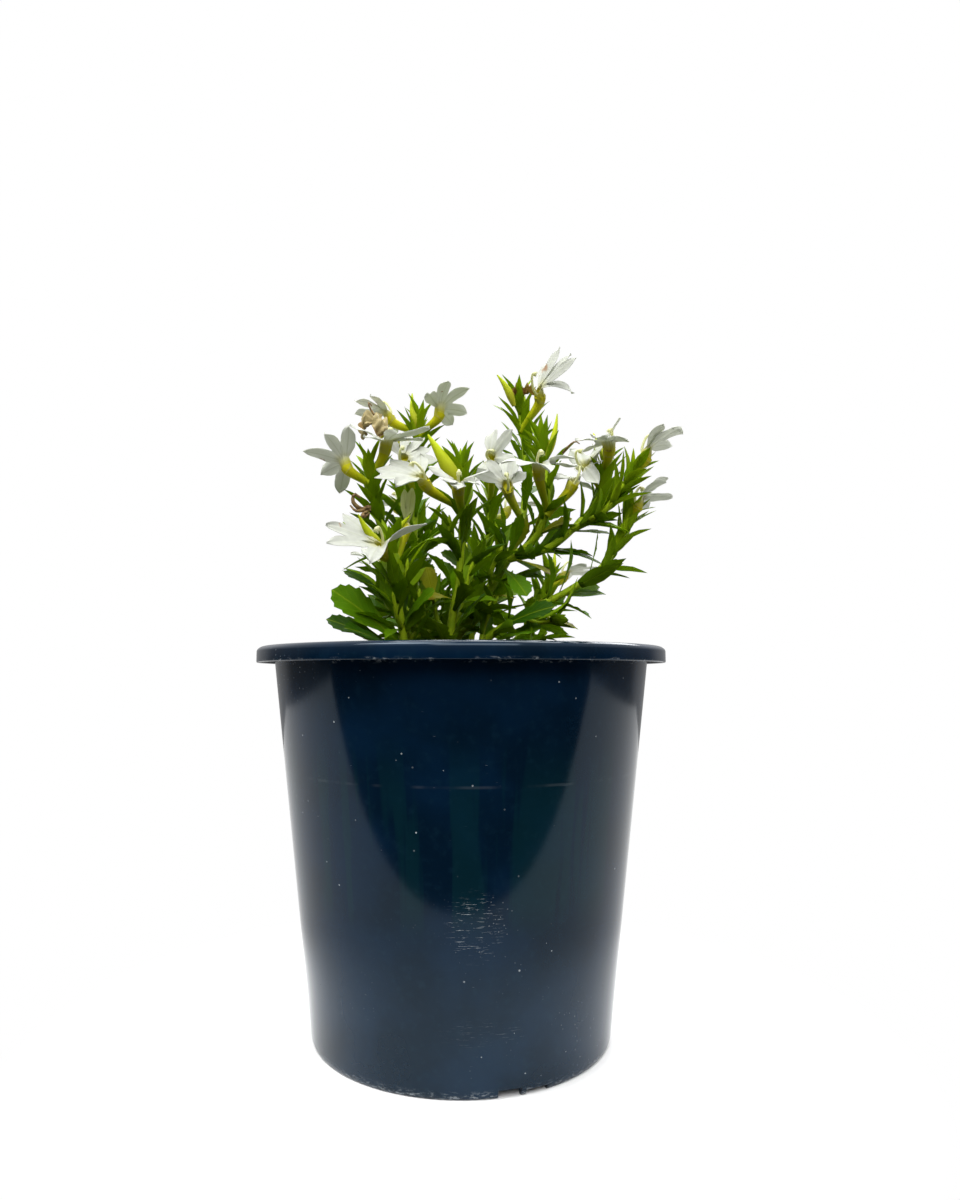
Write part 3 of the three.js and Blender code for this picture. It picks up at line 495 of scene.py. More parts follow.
for i in range(FOOT_NOTCHES):
    width = (NOTCH_WIDTH - NOTCH_TOOTH) / 2
    for side, height in ((-1, NOTCH_HEIGHT), (1, LOW_NOTCH_HEIGHT)):
        add_notch(side * (width + NOTCH_TOOTH) / 2, width, height, FIRST_NOTCH + 360 * i / FOOT_NOTCHES)
for i in range(DRAIN_HOLES):
    add_drain_hole(math.tau * i / DRAIN_HOLES)
cutter = new_object("cutter", cut_vertices, cut_faces, smooth=False)
cut = pot.modifiers.new("cut", "BOOLEAN")
cut.operation = "DIFFERENCE"
cut.solver = "EXACT"
cut.object = cutter
plain_mesh(pot)
bpy.data.objects.remove(cutter)
pot.data.set_sharp_from_angle(angle=math.radians(SHARP_FROM))
print("pot faces", len(pot.data.polygons))

# %% [markdown]
# ## The pot's plastic
#
# Recycled polypropylene: almost black with a navy cast, very glossy, and never clean. It has fine dust,
# two patches of rubbed level scratches in front, where pots are pulled apart, chafed edges at its foot
# and rim, a faint ring and upright lines from the mould, and a slight waviness that bends reflections.
# All of it is laid over the plastic by height and by angle. The marks come first, each a number from 0
# to 1, and the colour and the gloss take them up.

# %% The marks on the pot
MEAN_RADIUS = 60
RING_HEIGHT = 92
pot_material, nodes = new_material("glossy navy plastic")
place = nodes.place()
height = place.part("Z")
around = nodes.node("ShaderNodeMath", {"operation": "ARCTAN2"}, place.part("Y"), place.part("X"))


def patch(angle, level, wide, high):
    """1 in the middle of a patch on the wall, 0 outside it."""
    across_patch = (around - math.radians(angle)) * (MEAN_RADIUS / wide)
    up_patch = (height - level) / high
    return 1 - (across_patch * across_patch + up_patch * up_patch).ramp(0.2, 1)


def drawn_out(turns, heights, seed, detail, roughness=0.5):
    """Noise that is stretched along the wall: fine across it, by its scales around and up the pot."""
    return nodes.noise(nodes.vector(around * turns, height * heights, seed), 1.0, detail, roughness)


clouds = nodes.noise(place, 0.035, 3)
mottle = nodes.noise(place, 0.4, 4)
streaks = drawn_out(18, 0.9, 3, 4, 0.7).ramp(0.62, 0.74)
strokes = drawn_out(10, 3.2, 0, 3, 0.75).ramp(0.6, 0.68)
rubbed = patch(-86, 52, 10, 12) * strokes
rubbed_low = patch(-84, 20, 16, 5) * strokes * 0.2
scattered = drawn_out(14, 2.2, 9, 2, 0.8).ramp(0.72, 0.76)
scattered = scattered * nodes.noise(place, 0.09, 2).ramp(0.55, 0.66) * 0.6
grains = nodes.spots(place, 0.2, 0.055) * nodes.noise(place, 0.05, 2).ramp(0.46, 0.6)
fine_grains = nodes.spots(place, 0.62, 0.12) * nodes.noise(place, 0.03, 3).ramp(0.54, 0.68) * 0.35
foot_edge = 1 - height.ramp(0.6, 3.4)
rim_edge = (1 - abs(height - skirt_foot).ramp(0.2, 1.1)) * nodes.noise(place, 0.25, 4).ramp(0.45, 0.62)
chafing = nodes.noise(place * (1, 1, 2.5), 0.55, 5, 0.7).ramp(0.5, 0.64)
edge_wear = (foot_edge * chafing * 0.8 + rim_edge * chafing * 0.8).clamped()
ring_breaks = nodes.noise(nodes.vector(around * 5, 0, 1), 1.0, 2).ramp(0.45, 0.6)
ring_line = (1 - abs(height - RING_HEIGHT).ramp(0.15, 0.6)) * ring_breaks
scratches = rubbed + rubbed_low + scattered
white_marks = (scratches + grains + fine_grains + edge_wear * 0.7 + ring_line * 0.05).clamped()
print("nodes for the marks:", len(pot_material.node_tree.nodes))

# %% The pot's colour and gloss
PLASTIC_IOR = 1.36
BLUISH = (0.7, 0.88, 1, 1)
plastic = nodes.mix(clouds.ramp(0.35, 0.7), 0x031322, 0x051b30)
plastic = nodes.mix(mottle.ramp(0.5, 0.8) * 0.35, plastic, 0x0f2634)
# Faint greenish upright bands in the middle of the wall are a painted reflection.
painted_reflection_bands = drawn_out(7, 0.006, 2, 3, 0.6).ramp(0.5, 0.56)
painted_reflection_bands = painted_reflection_bands * (1 - height.ramp(85, 110)) * height.ramp(45, 60)
plastic = nodes.mix(painted_reflection_bands * 0.35, plastic, 0x082a2c)
# Low down the wall turns a lighter slate in cloudy patches.
lighter_low_down = (1 - height.ramp(0, 70)) * clouds.ramp(0.3, 0.8) * 0.25
plastic = nodes.mix(lighter_low_down, plastic, 0x223240)
worn = nodes.mix(white_marks * 0.62, plastic, 0xb9bfc2)
gloss = clouds * 0.06 + mottle * 0.05 + streaks * 0.08 + white_marks * 0.4 + 0.05
mould_lines = drawn_out(9, 0.004, 5, 2)
ripple = nodes.noise(place * (1, 1, 0.35), 0.02, 2)
relief = mould_lines * 0.05 + ripple * 0.6 - white_marks * 0.03 + ring_line * 0.03 + mottle * 0.004
bump = nodes.bump(relief, 0.35, 0.6)
pot_shader = nodes.plain(Base_Color=worn, Roughness=gloss, Normal=bump, IOR=PLASTIC_IOR,
                         Specular_Tint=BLUISH)
finish_material(nodes, pot_shader)
pot.data.materials.clear()
pot.data.materials.append(pot_material)
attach(pot, "root")
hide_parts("pot")
print("pot done")

# %% [markdown]
# ## How the plant grows
#
# Each shoot carries its leaves in a spiral, one golden angle apart. At the tip they are short bright
# bracts packed tightly; further down they are longer, wider, toothed and far apart. That is a rule, so the
# leaves are grown, not placed. The solids follow the same rule, with the same repeatable random numbers
# and the same test that keeps a new leaf clear, so each leaf here dresses the leaf of the solid. Stems,
# buds and flowers give this plant its character, and they stand where the photograph shows them.

# %% Stems
# Heights of the mix and of the collar, where stems leave it.
MIX_TOP = 124
COLLAR = 126.5


def shoot(foot, *path, tip=0.9, age=0):
    """A shoot along its path, with the radii of its foot and tip and how much older its leaves are."""
    return {"foot": foot, "tip": tip, "age": age, "path": path}


# Where the stem on the right divides.
FORK = (16, -6, 163.5)
STEMS = {
    "stem_right": [
        shoot(1.9, (-3, 2, COLLAR), (-2, 0, 136), (7.5, -3, 150), FORK, tip=1.6, age=46),
        shoot(1.5, FORK, (24.5, -12, 169), (28.5, -16, 179), (28, -17, 190), (26.5, -16, 202)),
        shoot(1.5, FORK, (21.5, 2, 177), (23.5, 8, 198), (22, 9, 214.5), (20.5, 8, 224.5)),
        shoot(1.4, FORK, (28.5, -12, 166), (37, -16, 172), (45.5, -16, 182), (48.5, -14, 196)),
        shoot(1.2, (37, -16, 172), (45, -24, 175.5), (50.5, -28, 182), (54.5, -30, 188.5)),
    ],
    "stem_low_right": [
        shoot(1.5, (3, -8, COLLAR), (9, -12, 136), (22.5, -20, 144.5), (35, -24, 151),
              (46, -24, 159), (52.5, -22, 171), (55.5, -22, 178)),
    ],
    "stem_front_left": [
        shoot(1.6, (-18.5, -20, COLLAR), (-19, -22, 137), (-20.5, -24, 148),
              (-21.5, -25, 157.5), (-22.5, -26, 167.5), age=8),
    ],
    "stem_left": [
        shoot(1.6, (-17, -4, COLLAR), (-19, -5, 139), (-21.5, -8, 154.5), (-26.5, -10, 171),
              (-29.5, -12, 182.5), (-31, -12, 195.5)),
    ],
    "stem_tall_left": [
        shoot(1.6, (-15, 12, COLLAR), (-16.5, 14, 147.5), (-17.5, 16, 170),
              (-16.5, 18, 196.5), (-15.5, 18, 220)),
    ],
    "stem_centre": [
        shoot(1.6, (-4.5, -12, COLLAR), (-3, -14, 142), (-0.5, -16, 158.5), (0.5, -18, 175), (0, -18, 194)),
    ],
    "stem_back_left": [
        shoot(1.5, (-11, 22, COLLAR), (-14, 26, 148.5), (-16, 28, 168), (-19, 28, 187.5), (-20, 28, 199)),
    ],
    "stem_back_right": [
        shoot(1.5, (2.5, 16, COLLAR), (5, 20, 148), (9, 24, 167.5), (11, 24, 183), (11.5, 24, 196)),
    ],
    "stem_rear_left": [
        shoot(1.5, (-16, 32, COLLAR), (-20, 37, 140), (-25, 43, 153), (-27, 46, 168), age=4),
    ],
    "stem_rear_middle": [
        shoot(1.5, (2, 32, COLLAR), (3, 40, 142), (4, 47, 157), (3, 50, 172), age=4),
    ],
    "stem_rear_right": [
        shoot(1.5, (14, 22, COLLAR), (22, 29, 138), (31, 36, 148), (35, 40, 163), age=4),
    ],
}
print(len(STEMS), "stems")

# %% Large leaves and buds
# foot, tip, width, the way it faces
LARGE_LEAVES = {
    "stem_front_left": [
        ((-19, -21.5, 133), (-41, -31, 150.5), 12, (0.2, -0.85, 0.4)),
        ((-18.8, -21, 130), (-43.5, -26, 141.5), 9, (0.15, -0.65, 0.75)),
        ((-18.6, -21, 129), (-36, -38, 138), 8, (0.1, -0.3, 0.95)),
        ((-20, -23.4, 144), (-38, -26, 157), 6, (0.4, -0.3, 0.8)),
        ((-19.3, -22.4, 139), (-8, -34, 150), 6.5, (-0.4, -0.6, 0.6))],
    "stem_centre": [
        ((-4, -12.8, 134), (8, -30, 149), 7, (-0.3, -0.6, 0.7)),
        ((-4.2, -12.4, 131), (-9, -34, 141), 8, (0, -0.5, 0.85))],
    "stem_low_right": [
        ((6, -10, 131.5), (26, -28, 138.5), 8, (0.1, -0.6, 0.75)),
        ((10, -12.8, 137), (29.5, -32, 145), 7.5, (0.1, -0.8, 0.6)),
        ((18, -17.5, 142), (32, -4, 140), 7, (0.2, 0.1, 0.95))],
    "stem_right": [
        ((14, -5.4, 160.5), (21.5, -23, 149), 7.5, (0.2, -0.85, 0.4)),
        ((17, -6.6, 164), (40, -18, 163), 6, (0, -0.25, 0.95)),
        ((9, -3.5, 152.5), (-6, -16, 162), 6.5, (0.3, -0.5, 0.8))],
}
# stem, foot, tip, radius
BUDS = [
    ("stem_front_left", (-22.3, -26, 164), (-30, -30, 171.5), 1.2),
    ("stem_front_left", (-22.4, -26, 165), (-16, -30, 174), 1.1),
    ("stem_tall_left", (-15.6, 18, 215), (-18.3, 18, 229), 1.5),
    ("stem_right", (21.5, 8.6, 219), (15, 6, 231), 1.5),
    ("stem_right", (27.2, -16.6, 194), (32, -16, 210.5), 1.2),
    ("stem_right", (48.2, -14, 193), (45.6, -6, 207), 1.1),
    ("stem_right", (48.4, -14, 194.5), (51, -11, 204), 1.0),
    ("stem_centre", (0.2, -18, 183), (-10.8, -23, 201.5), 2.4),
    ("stem_back_left", (-19.6, 28, 193), (-25, 31, 206), 1.2),
    ("stem_rear_middle", (3.2, 49.5, 169), (-1, 52, 183), 1.3),
    ("stem_rear_right", (34.7, 39.6, 161), (38, 44, 174), 1.2),
]
print("large leaves:", sum(map(len, LARGE_LEAVES.values())), "buds:", len(BUDS))


# %% Flowers
def bloom(stem, foot, heart, fan, face, spread, petal, lift, arch, petals=5, young=False, strays=(),
          web=0.4):
    """A flower: the foot of its tube, its heart, the way the fan opens and the way that its face looks.

    The fan spreads by an angle. Its petals have a length, and are raised off the face and arched back.
    No flower is even. A stray tells how far a petal is turned and raised off its even place, how much
    longer it is, how much more it curls and how far it rolls about its midrib. Even values at its end are
    left out. The web is the share of a petal that its neighbours are joined to.
    """
    return {"stem": stem, "foot": foot, "heart": heart, "fan": fan, "face": face, "spread": spread,
            "petal": petal, "lift": lift, "arch": arch, "petals": petals, "young": young, "strays": strays,
            "web": web}


BLOOMS = [
    bloom("stem_right", (22, 8.8, 212), (27, 0, 223.6), (0.5, -0.29, 0.82), (-0.8, -0.45, 0.4),
          spread=100, petal=16.5, lift=0, arch=10,
          strays=((6, -3, 1, 0, -34), (10, 2, 1, 0, -32), (0, -9, 0.95, 0, -28), (6, -16, 1.05, 0, -22),
                  (-8, 8, 0.88, 116, -10)), web=0.25),
    bloom("stem_tall_left", (-15.7, 18, 213), (-8, 16, 222.4), (0.81, -0.16, 0.56), (-0.48, 0.4, 0.78),
          spread=176, petal=13, lift=15, arch=34,
          strays=((0, 6), (-10, -12, 1.06), (0, -3), (2,), (0, -3, 0.9))),
    bloom("stem_tall_left", (-15.7, 18, 213.5), (-27, 16, 221), (-0.94, 0.27, 0.2), (0.26, 0.23, 0.94),
          spread=163, petal=13, lift=0, arch=8, strays=((6, -3), (-4, -3), (-2, -9))),
    bloom("stem_left", (-30.3, -12, 187.5), (-38.8, -14, 194.6), (-0.97, -0.07, 0.24), (0.13, 0.69, 0.71),
          spread=176, petal=13.4, lift=22, arch=34,
          strays=((2, 3, 1.06), (-2, -6, 0.9), (0, 0, 1.05), (2, 6, 0.9), (-2, -3))),
    bloom("stem_left", (-30.4, -12, 189), (-25, -14, 201.6), (0.35, -0.9, -0.2), (0, -0.25, 0.95),
          spread=172, petal=13.5, lift=14, arch=14, strays=((), (-14, 9, 1.1), (), (0, 0, 1.1))),
    bloom("stem_tall_left", (-16.7, 17.8, 190), (-20.9, 6, 201.4), (0.5, 0.06, 0.87), (-0.14, -0.98, 0.15),
          spread=132, petal=13, lift=0, arch=28,
          strays=((8, 0, 0.9), (8, -16, 0.9), (4, -9), (-6, -9, 0.9))),
    bloom("stem_centre", (0.4, -18, 178), (-12.6, -26, 187), (-0.98, 0.15, 0.08), (-0.05, -0.55, 0.84),
          spread=150, petal=14.5, lift=10, arch=8,
          strays=((2, 0, 1.05), (4, 6, 1.05), (4,), (-2, 3, 1.05), (0, 6))),
    bloom("stem_centre", (0.4, -18, 176), (-0.8, -29, 184.8), (0.05, -0.82, -0.5), (0.1, -0.5, 0.82),
          spread=170, petal=12.5, lift=20, arch=10,
          strays=((14, 12, 0.9), (14, -16, 0.9), (4, -6), (-14, -16), (-14, 6, 0.9)), web=0.72),
    bloom("stem_back_right", (11.3, 24, 190), (10.8, 10, 202.6), (0.85, -0.4, -0.15), (-0.4, -0.9, 0.1),
          spread=176, petal=14, lift=20, arch=10,
          strays=((-14, -3, 0.95, 60), (-4, 6, 0.95), (8, 6, 0.9), (12, -15, 1.1, 30), (14, 16, 0.9))),
    bloom("stem_right", (21.8, 2.4, 178), (15.7, -13, 187.4), (-0.15, 0.05, 0.95), (0.2, -0.95, 0.1),
          spread=120, petal=13, lift=0, arch=24,
          strays=((), (2, -16, 0.9), (8, -16, 0.9), (-4, -16, 0.9), (-4, -16, 0.9))),
    bloom("stem_right", (28.4, -16.5, 178.5), (24.6, -28, 190.4), (0.15, -0.9, -0.35), (0.06, -0.4, 0.92),
          spread=168, petal=13.8, lift=18, arch=28, strays=((2, -3, 0.95), (), (0, -3), (), (-8, -3))),
    bloom("stem_right", (28.5, -16.4, 176.5), (37.6, -18, 188.3), (-0.4, 0.8, 0.3), (0.1, -0.35, 0.92),
          spread=140, petal=12.5, lift=4, arch=10),
    bloom("stem_right", (46.6, -15.3, 186), (41.5, -13, 194.2), (0.77, -0.3, 0.58), (-0.55, -0.5, 0.65),
          spread=174, petal=15, lift=4, arch=8,
          strays=((-6, 6, 1.05), (14, 3, 1.12), (0, 3, 1.2, -30), (-14, -15, 1.2), (0, 0, 1.1)), web=0.5),
    bloom("stem_right", (48, -14.6, 190.5), (47.9, -24, 198.3), (-0.8, -0.6, -0.12), (-0.1, -0.1, 0.98),
          spread=160, petal=12.5, lift=4, arch=22,
          strays=((0, 0, 0.8), (0, -6, 0.85), (-14, 12, 0.9), (0, 6, 0.85), (0, 0, 0.8))),
    bloom("stem_right", (53.6, -29.5, 187), (58.1, -31, 193.8), (0.83, -0.35, 0.42), (-0.38, 0.15, 0.92),
          spread=112, petal=13.4, lift=22, arch=30,
          strays=((), (2, -16), (0, -6, 0.9), (4, -6, 0.95), (-10, -16, 0.95))),
    bloom("stem_low_right", (54.6, -22, 175), (57.1, -24, 180), (0.82, 0.5, 0.05), (-0.15, 0.33, 0.93),
          spread=140, petal=12.4, lift=20, arch=26, strays=((), (6, -9), (14, -6, 1.1), (), (10, -9, 0.9))),
    bloom("stem_front_left", (-22, -26, 159.5), (-24.8, -36, 163.5), (-0.6, -0.75, -0.1), (-0.05, -0.4, 0.92),
          spread=178, petal=17, lift=18, arch=8,
          strays=((-8, 16, 1.12), (12, -24, 1, 15), (14, -14, 1.1, 0, 25), (0, 2, 1.1, 0, 32),
                  (-8, 12, 1, 0, 34)), web=0.5),
    bloom("stem_front_left", (-21.6, -25.2, 157.5), (-18, -15, 172.5), (0.05, 0.1, 0.98), (0, 0.98, -0.1),
          spread=26, petal=12.5, lift=0, arch=8, petals=2, young=True,
          strays=((7, 0, 1.1), (-7, 3, 1.12)), web=0.7),
    bloom("stem_rear_left", (-26.5, 45, 163), (-33, 52, 171), (-0.7, 0.5, 0.3), (0.2, -0.2, 0.95),
          spread=172, petal=13, lift=4, arch=12),
    bloom("stem_rear_left", (-25.4, 43.5, 156), (-20, 52, 163), (0.3, 0.85, -0.1), (0, 0.1, 0.98),
          spread=172, petal=12.5, lift=4, arch=14),
    bloom("stem_rear_middle", (3.4, 49, 166), (6, 57, 174), (0.2, 0.9, 0.2), (0, -0.15, 0.98),
          spread=174, petal=13, lift=4, arch=12),
    bloom("stem_rear_right", (34.2, 39.2, 158), (42, 44, 165.5), (0.8, 0.5, 0.1), (-0.1, 0.1, 0.98),
          spread=172, petal=13, lift=4, arch=12),
    bloom("stem_back_left", (-18.6, 28, 184), (-26, 38, 193), (-0.5, 0.8, 0.1), (0.1, 0.2, 0.97),
          spread=172, petal=12.5, lift=4, arch=12),
    bloom("stem_back_right", (10.9, 24, 182), (18, 35, 190), (0.5, 0.8, 0.1), (0, 0.2, 0.97),
          spread=172, petal=12.5, lift=4, arch=12),
    bloom("stem_tall_left", (-16, 18, 206), (-29.5, 7, 214.5), (-0.9, -0.35, 0.1), (0.1, -0.35, 0.9),
          spread=160, petal=9.5, lift=38, arch=60, petals=4),
]
for i, flower in enumerate(BLOOMS):
    flower["spent"] = i == len(BLOOMS) - 1
    flower["name"] = "spent_bloom" if flower["spent"] else f"bloom_{i + 1:02d}"
print(len(BLOOMS), "flowers")


# %% Vectors and paths
def unit(direction):
    direction = np.asarray(direction, float)
    return direction / np.linalg.norm(direction)


def square_to(direction, to):
    """The part of a direction that stands square to another, one long."""
    return unit(np.asarray(direction, float) - np.dot(direction, to) * to)


def sine(degrees):
    return math.sin(math.radians(degrees))


def cosine(degrees):
    return math.cos(math.radians(degrees))


PATH_STEPS = 120


def smooth_path(corners, count=PATH_STEPS):
    """A smooth path through its corners and the distance walked to each of its points."""
    knots = np.array(corners, float)
    knots = np.vstack([2 * knots[0] - knots[1], knots, 2 * knots[-1] - knots[-2]])
    spans = len(corners) - 1
    points = []
    for i in range(count + 1):
        walked = spans * i / count
        span = min(int(walked), spans - 1)
        t = walked - span
        before, start, end, after = knots[span:span + 4]
        leave, arrive = (end - before) / 2, (after - start) / 2
        points.append(start + leave * t + (3 * (end - start) - 2 * leave - arrive) * t * t
                      + (2 * (start - end) + leave + arrive) * t ** 3)
    steps = [np.linalg.norm(b - a) for a, b in zip(points, points[1:])]
    return np.array(points), np.concatenate([[0], np.cumsum(steps)])


def place_on(path, distance):
    """The point and the direction of a path at a distance from its foot."""
    points, distances = path
    i = max(1, min(int(np.searchsorted(distances, distance)), len(points) - 1))
    share = (distance - distances[i - 1]) / (distances[i] - distances[i - 1])
    return points[i - 1] + share * (points[i] - points[i - 1]), unit(points[i] - points[i - 1])


def blade_at(leaf, share):
    """The middle and the surface direction of an arching blade at a share of its length."""
    bend = math.radians(leaf["arch"])
    turn = bend * share
    middle = (leaf["root"] + leaf["along"] * (leaf["length"] * math.sin(turn) / bend)
              - leaf["up"] * (leaf["length"] * (1 - math.cos(turn)) / bend))
    return middle, leaf["up"] * math.cos(turn) + leaf["along"] * math.sin(turn)


print("steps along a path:", PATH_STEPS)

# %% [markdown]
# Leaves of a real bush give way to each other. Here every limb, leaf and petal leaves samples of itself
# in a grid of cells, and a new leaf is turned, raised or shortened until it keeps its distance from the
# samples near it. A leaf that finds no room isn't grown.

# %% Keeping clear
CLEAR_OF_OTHERS = 1.8
CLEAR_OF_OWN = 0.9
SAMPLED_FROM = 0.4
SAMPLE_STEP = 2
# How far from its middle line a blade is sampled, in widths, and from which width on.
SAMPLED_ASIDE = 0.38
WIDE_BLADE = 3
CELL = 4
OVER_RIM = 1.2
INSIDE_RIM = 3
# turn, lift and size of each try
WAYS_CLEAR = [
    (0, 0, 1), (18, 0, 1), (-18, 0, 1), (0, -14, 1), (36, 0, 0.9), (-36, 0, 0.9), (0, 16, 0.85), (55, 0, 0.9),
    (-55, 0, 0.9), (80, -8, 0.85), (-80, -8, 0.85), (115, 8, 0.8), (-115, 8, 0.8), (150, 0, 0.7), (0, 0, 0.6),
]
taken = {}


def cell_of(point):
    return tuple(math.floor(c / CELL) for c in point)


def remember(samples):
    for sample in samples:
        taken.setdefault(cell_of(sample[0]), []).append(sample)


def is_clear(samples, ease=1.0):
    for point, owner, share, radius in samples:
        x, y, z = point
        if z < (COLLAR if math.hypot(x, y) < WALL_TOP_RADIUS - INSIDE_RIM else POT_HEIGHT + OVER_RIM):
            return False
        around = [(c - 1, c, c + 1) for c in cell_of(point)]
        for cell in itertools.product(*around):
            for other, whose, at, girth in taken.get(cell, ()):
                gap = CLEAR_OF_OTHERS
                if owner == whose:
                    if share < SAMPLED_FROM or at < SAMPLED_FROM:
                        continue
                    gap = CLEAR_OF_OWN
                if math.dist(point, other) < ease * gap + radius + girth:
                    return False
    return True


def samples_of_blade(leaf, owner, start):
    side = np.cross(leaf["along"], leaf["up"])
    steps = math.ceil(leaf["length"] / SAMPLE_STEP)
    hands = (-SAMPLED_ASIDE, 0, SAMPLED_ASIDE) if leaf["width"] > WIDE_BLADE else (0,)
    samples = []
    for i in range(steps + 1):
        share = i / steps
        if share < start:
            continue
        middle, _ = blade_at(leaf, share)
        spread = leaf["width"] if share < 0.95 else 0
        samples += [(tuple(middle + side * (hand * spread)), owner, share, 0) for hand in hands]
    return samples


def samples_of_limb(rings, owner):
    samples = []
    for (here, radius), (there, _) in zip(rings, rings[1:]):
        steps = math.ceil(math.dist(here, there) / SAMPLE_STEP)
        for j in range(steps):
            point = tuple(np.asarray(here) + (np.asarray(there) - here) * (j / steps))
            samples.append((point, owner, 0, LIMB_ROOM * radius))
    return samples


def clear_shape(make_shape, owner, start, ease=1.0):
    """The first way of placing a blade that keeps it clear, or nothing."""
    for way in WAYS_CLEAR:
        leaf = make_shape(*way)
        samples = samples_of_blade(leaf, owner, start)
        if is_clear(samples, ease):
            remember(samples)
            return leaf
    return None


drawn = 20


def drawn_number():
    """A repeatable random number from -1 to 1."""
    global drawn
    drawn = (drawn * 1664525 + 1013904223) % 2 ** 32
    return drawn / 2 ** 31 - 1


print("ways to keep clear:", len(WAYS_CLEAR))

# %% Stems, tubes and buds take their room first
FIT = 0.3
THROAT_LENGTH = 1.6
THROAT_RADIUS = 2.3
TUBE_FOOT_RADIUS = 0.95
TUBE_MOUTH_RADIUS = 1.9
ROOTED = 12
FACE_PULL = 1.4
LIMB_ROOM = 0.6
# Along a tube or a bud: share of its length, share of its radius.
TUBE_SWELL = ((0, TUBE_FOOT_RADIUS / TUBE_MOUTH_RADIUS), (0.6, 0.75), (1, 1))
BUD_SWELL = ((0, 0.5), (0.35, 1), (0.7, 0.62), (1, 0.16))


def flower_directions(flower):
    """Along the tube, out of its mouth, forward over the fan, off its face and aside, and the mouth."""
    tube = unit(np.subtract(flower["heart"], flower["foot"]))
    forward = unit(flower["fan"])
    face = square_to(flower["face"], forward)
    out = unit(tube + FACE_PULL * face)
    mouth = np.array(flower["heart"]) - out * (FIT + THROAT_LENGTH)
    return {"tube": tube, "out": out, "forward": forward, "face": face, "side": np.cross(forward, face),
            "mouth": mouth}


def straight_rings(start, tip, radius, swells):
    """Rings of a straight limb: the places of their centres, and their radii."""
    start, tip = np.array(start, float), np.array(tip, float)
    return [(start + share * (tip - start), radius * swell) for share, swell in swells]


for stem, shoots in STEMS.items():
    for each in shoots:
        each["line"] = smooth_path(each["path"])
        remember(samples_of_limb([(tuple(p), each["foot"]) for p in each["line"][0]], stem))
for flower in BLOOMS:
    mouth = flower_directions(flower)["mouth"]
    tube = straight_rings(flower["foot"], mouth, TUBE_MOUTH_RADIUS, TUBE_SWELL)
    remember(samples_of_limb(tube, flower["stem"]))
    remember([(flower["heart"], flower["name"], 0, LIMB_ROOM * THROAT_RADIUS)])
for stem, start, tip, radius in BUDS:
    remember(samples_of_limb(straight_rings(start, tip, radius, BUD_SWELL), stem))
print("cells in use:", len(taken))

# %% The petals' middle lines
PETAL_WIDTH = 4.6
# A petal gives way by a small share of a leaf's turn.
PETAL_GIVES = 0.06
# turn, lift, size, curl and roll of a petal that doesn't stray
EVEN = (0, 0, 1, 0, 0)


def petal_shape(flower, ways, turn, tilt, length, width, arch):
    """A petal at a turn about the flower's face, raised off it by a tilt."""
    out = ways["forward"] * cosine(turn) + ways["side"] * sine(turn)
    return {"root": np.array(flower["heart"], float),
            "along": out * cosine(tilt) + ways["face"] * sine(tilt),
            "up": ways["face"] * cosine(tilt) - out * sine(tilt),
            "length": length, "width": width, "arch": arch, "turn": turn, "tilt": tilt, "roll": 0}


def petal_shapes(flower):
    ways = flower_directions(flower)
    count = flower["petals"]
    step = flower["spread"] / (count - 1)
    room = flower["petal"] * sine(step / 2)
    shapes = []
    for i in range(count):
        centre = (i - (count - 1) / 2) * step + 2 * drawn_number()
        grown = 1 + 0.06 * drawn_number()
        lean = flower["lift"] + 4 * drawn_number()

        def make_shape(spin, lift, size):
            length = flower["petal"] * grown * size
            width = min(PETAL_WIDTH, room * size)
            turn = centre + PETAL_GIVES * spin
            return petal_shape(flower, ways, turn, lean - lift, length, width, flower["arch"])

        shapes.append(clear_shape(make_shape, flower["name"], 0.3) or make_shape(0, 0, 0.5))
    for i, stray in enumerate(flower["strays"]):
        even = shapes[i]
        turn, lift, size, curl, roll = stray + EVEN[len(stray):]
        stray = petal_shape(flower, ways, even["turn"] + turn, even["tilt"] + lift,
                            even["length"] * size, even["width"], even["arch"] + curl)
        shapes[i] = stray | {"roll": math.radians(roll)}
    return shapes


for flower in BLOOMS:
    flower["shapes"] = petal_shapes(flower)
print("petals:", sum(len(flower["shapes"]) for flower in BLOOMS))

# %% The rule of the leaves
# distance from the tip, length, width, angle off the stem, distance to the next leaf
LEAF_AGES = [(0, 9.5, 3.3, 18, 1.3), (8, 12.5, 4, 25, 2.4), (22, 15, 4.9, 32, 4), (42, 18, 6, 40, 6.6),
             (80, 22, 7.8, 50, 10)]
GOLDEN_ANGLE = 137.5
TOOTHED_FROM = 38
DENSER_TOOTHED_FROM = 24
STEM_SIDES = 5
FIRST_LEAF = 0.9
LAST_LEAF = 3
LARGE_ARCH = 24
LARGE_AGE = 80
BRACT, TOOTHED, LARGE = 0, 1, 2
leaves = {stem: [] for stem in STEMS}


def at_age(age):
    """Length, width, angle and distance to the next of a leaf of an age, between two rows of the table."""
    i = 1
    while i + 1 < len(LEAF_AGES) and LEAF_AGES[i][0] < age:
        i += 1
    young, old = LEAF_AGES[i - 1], LEAF_AGES[i]
    share = min((age - young[0]) / (old[0] - young[0]), 1)
    return [a + (b - a) * share for a, b in zip(young[1:], old[1:])]


def leaf_places(length, older_by):
    """The leaves of a shoot in their spiral, each a little off the rule by chance."""
    places = []
    from_tip, turn = FIRST_LEAF, 60 * drawn_number()
    while from_tip < length - LAST_LEAF:
        age = from_tip + older_by
        size, width, angle, step = at_age(age)
        places.append({"distance": length - from_tip, "turn": turn,
                       "length": size * (1 + 0.12 * drawn_number()), "width": width,
                       "angle": angle + 6 * drawn_number(), "arch": 24 + 14 * drawn_number(), "age": age})
        turn += GOLDEN_ANGLE + 8 * drawn_number()
        from_tip += step
    return places[::-1]


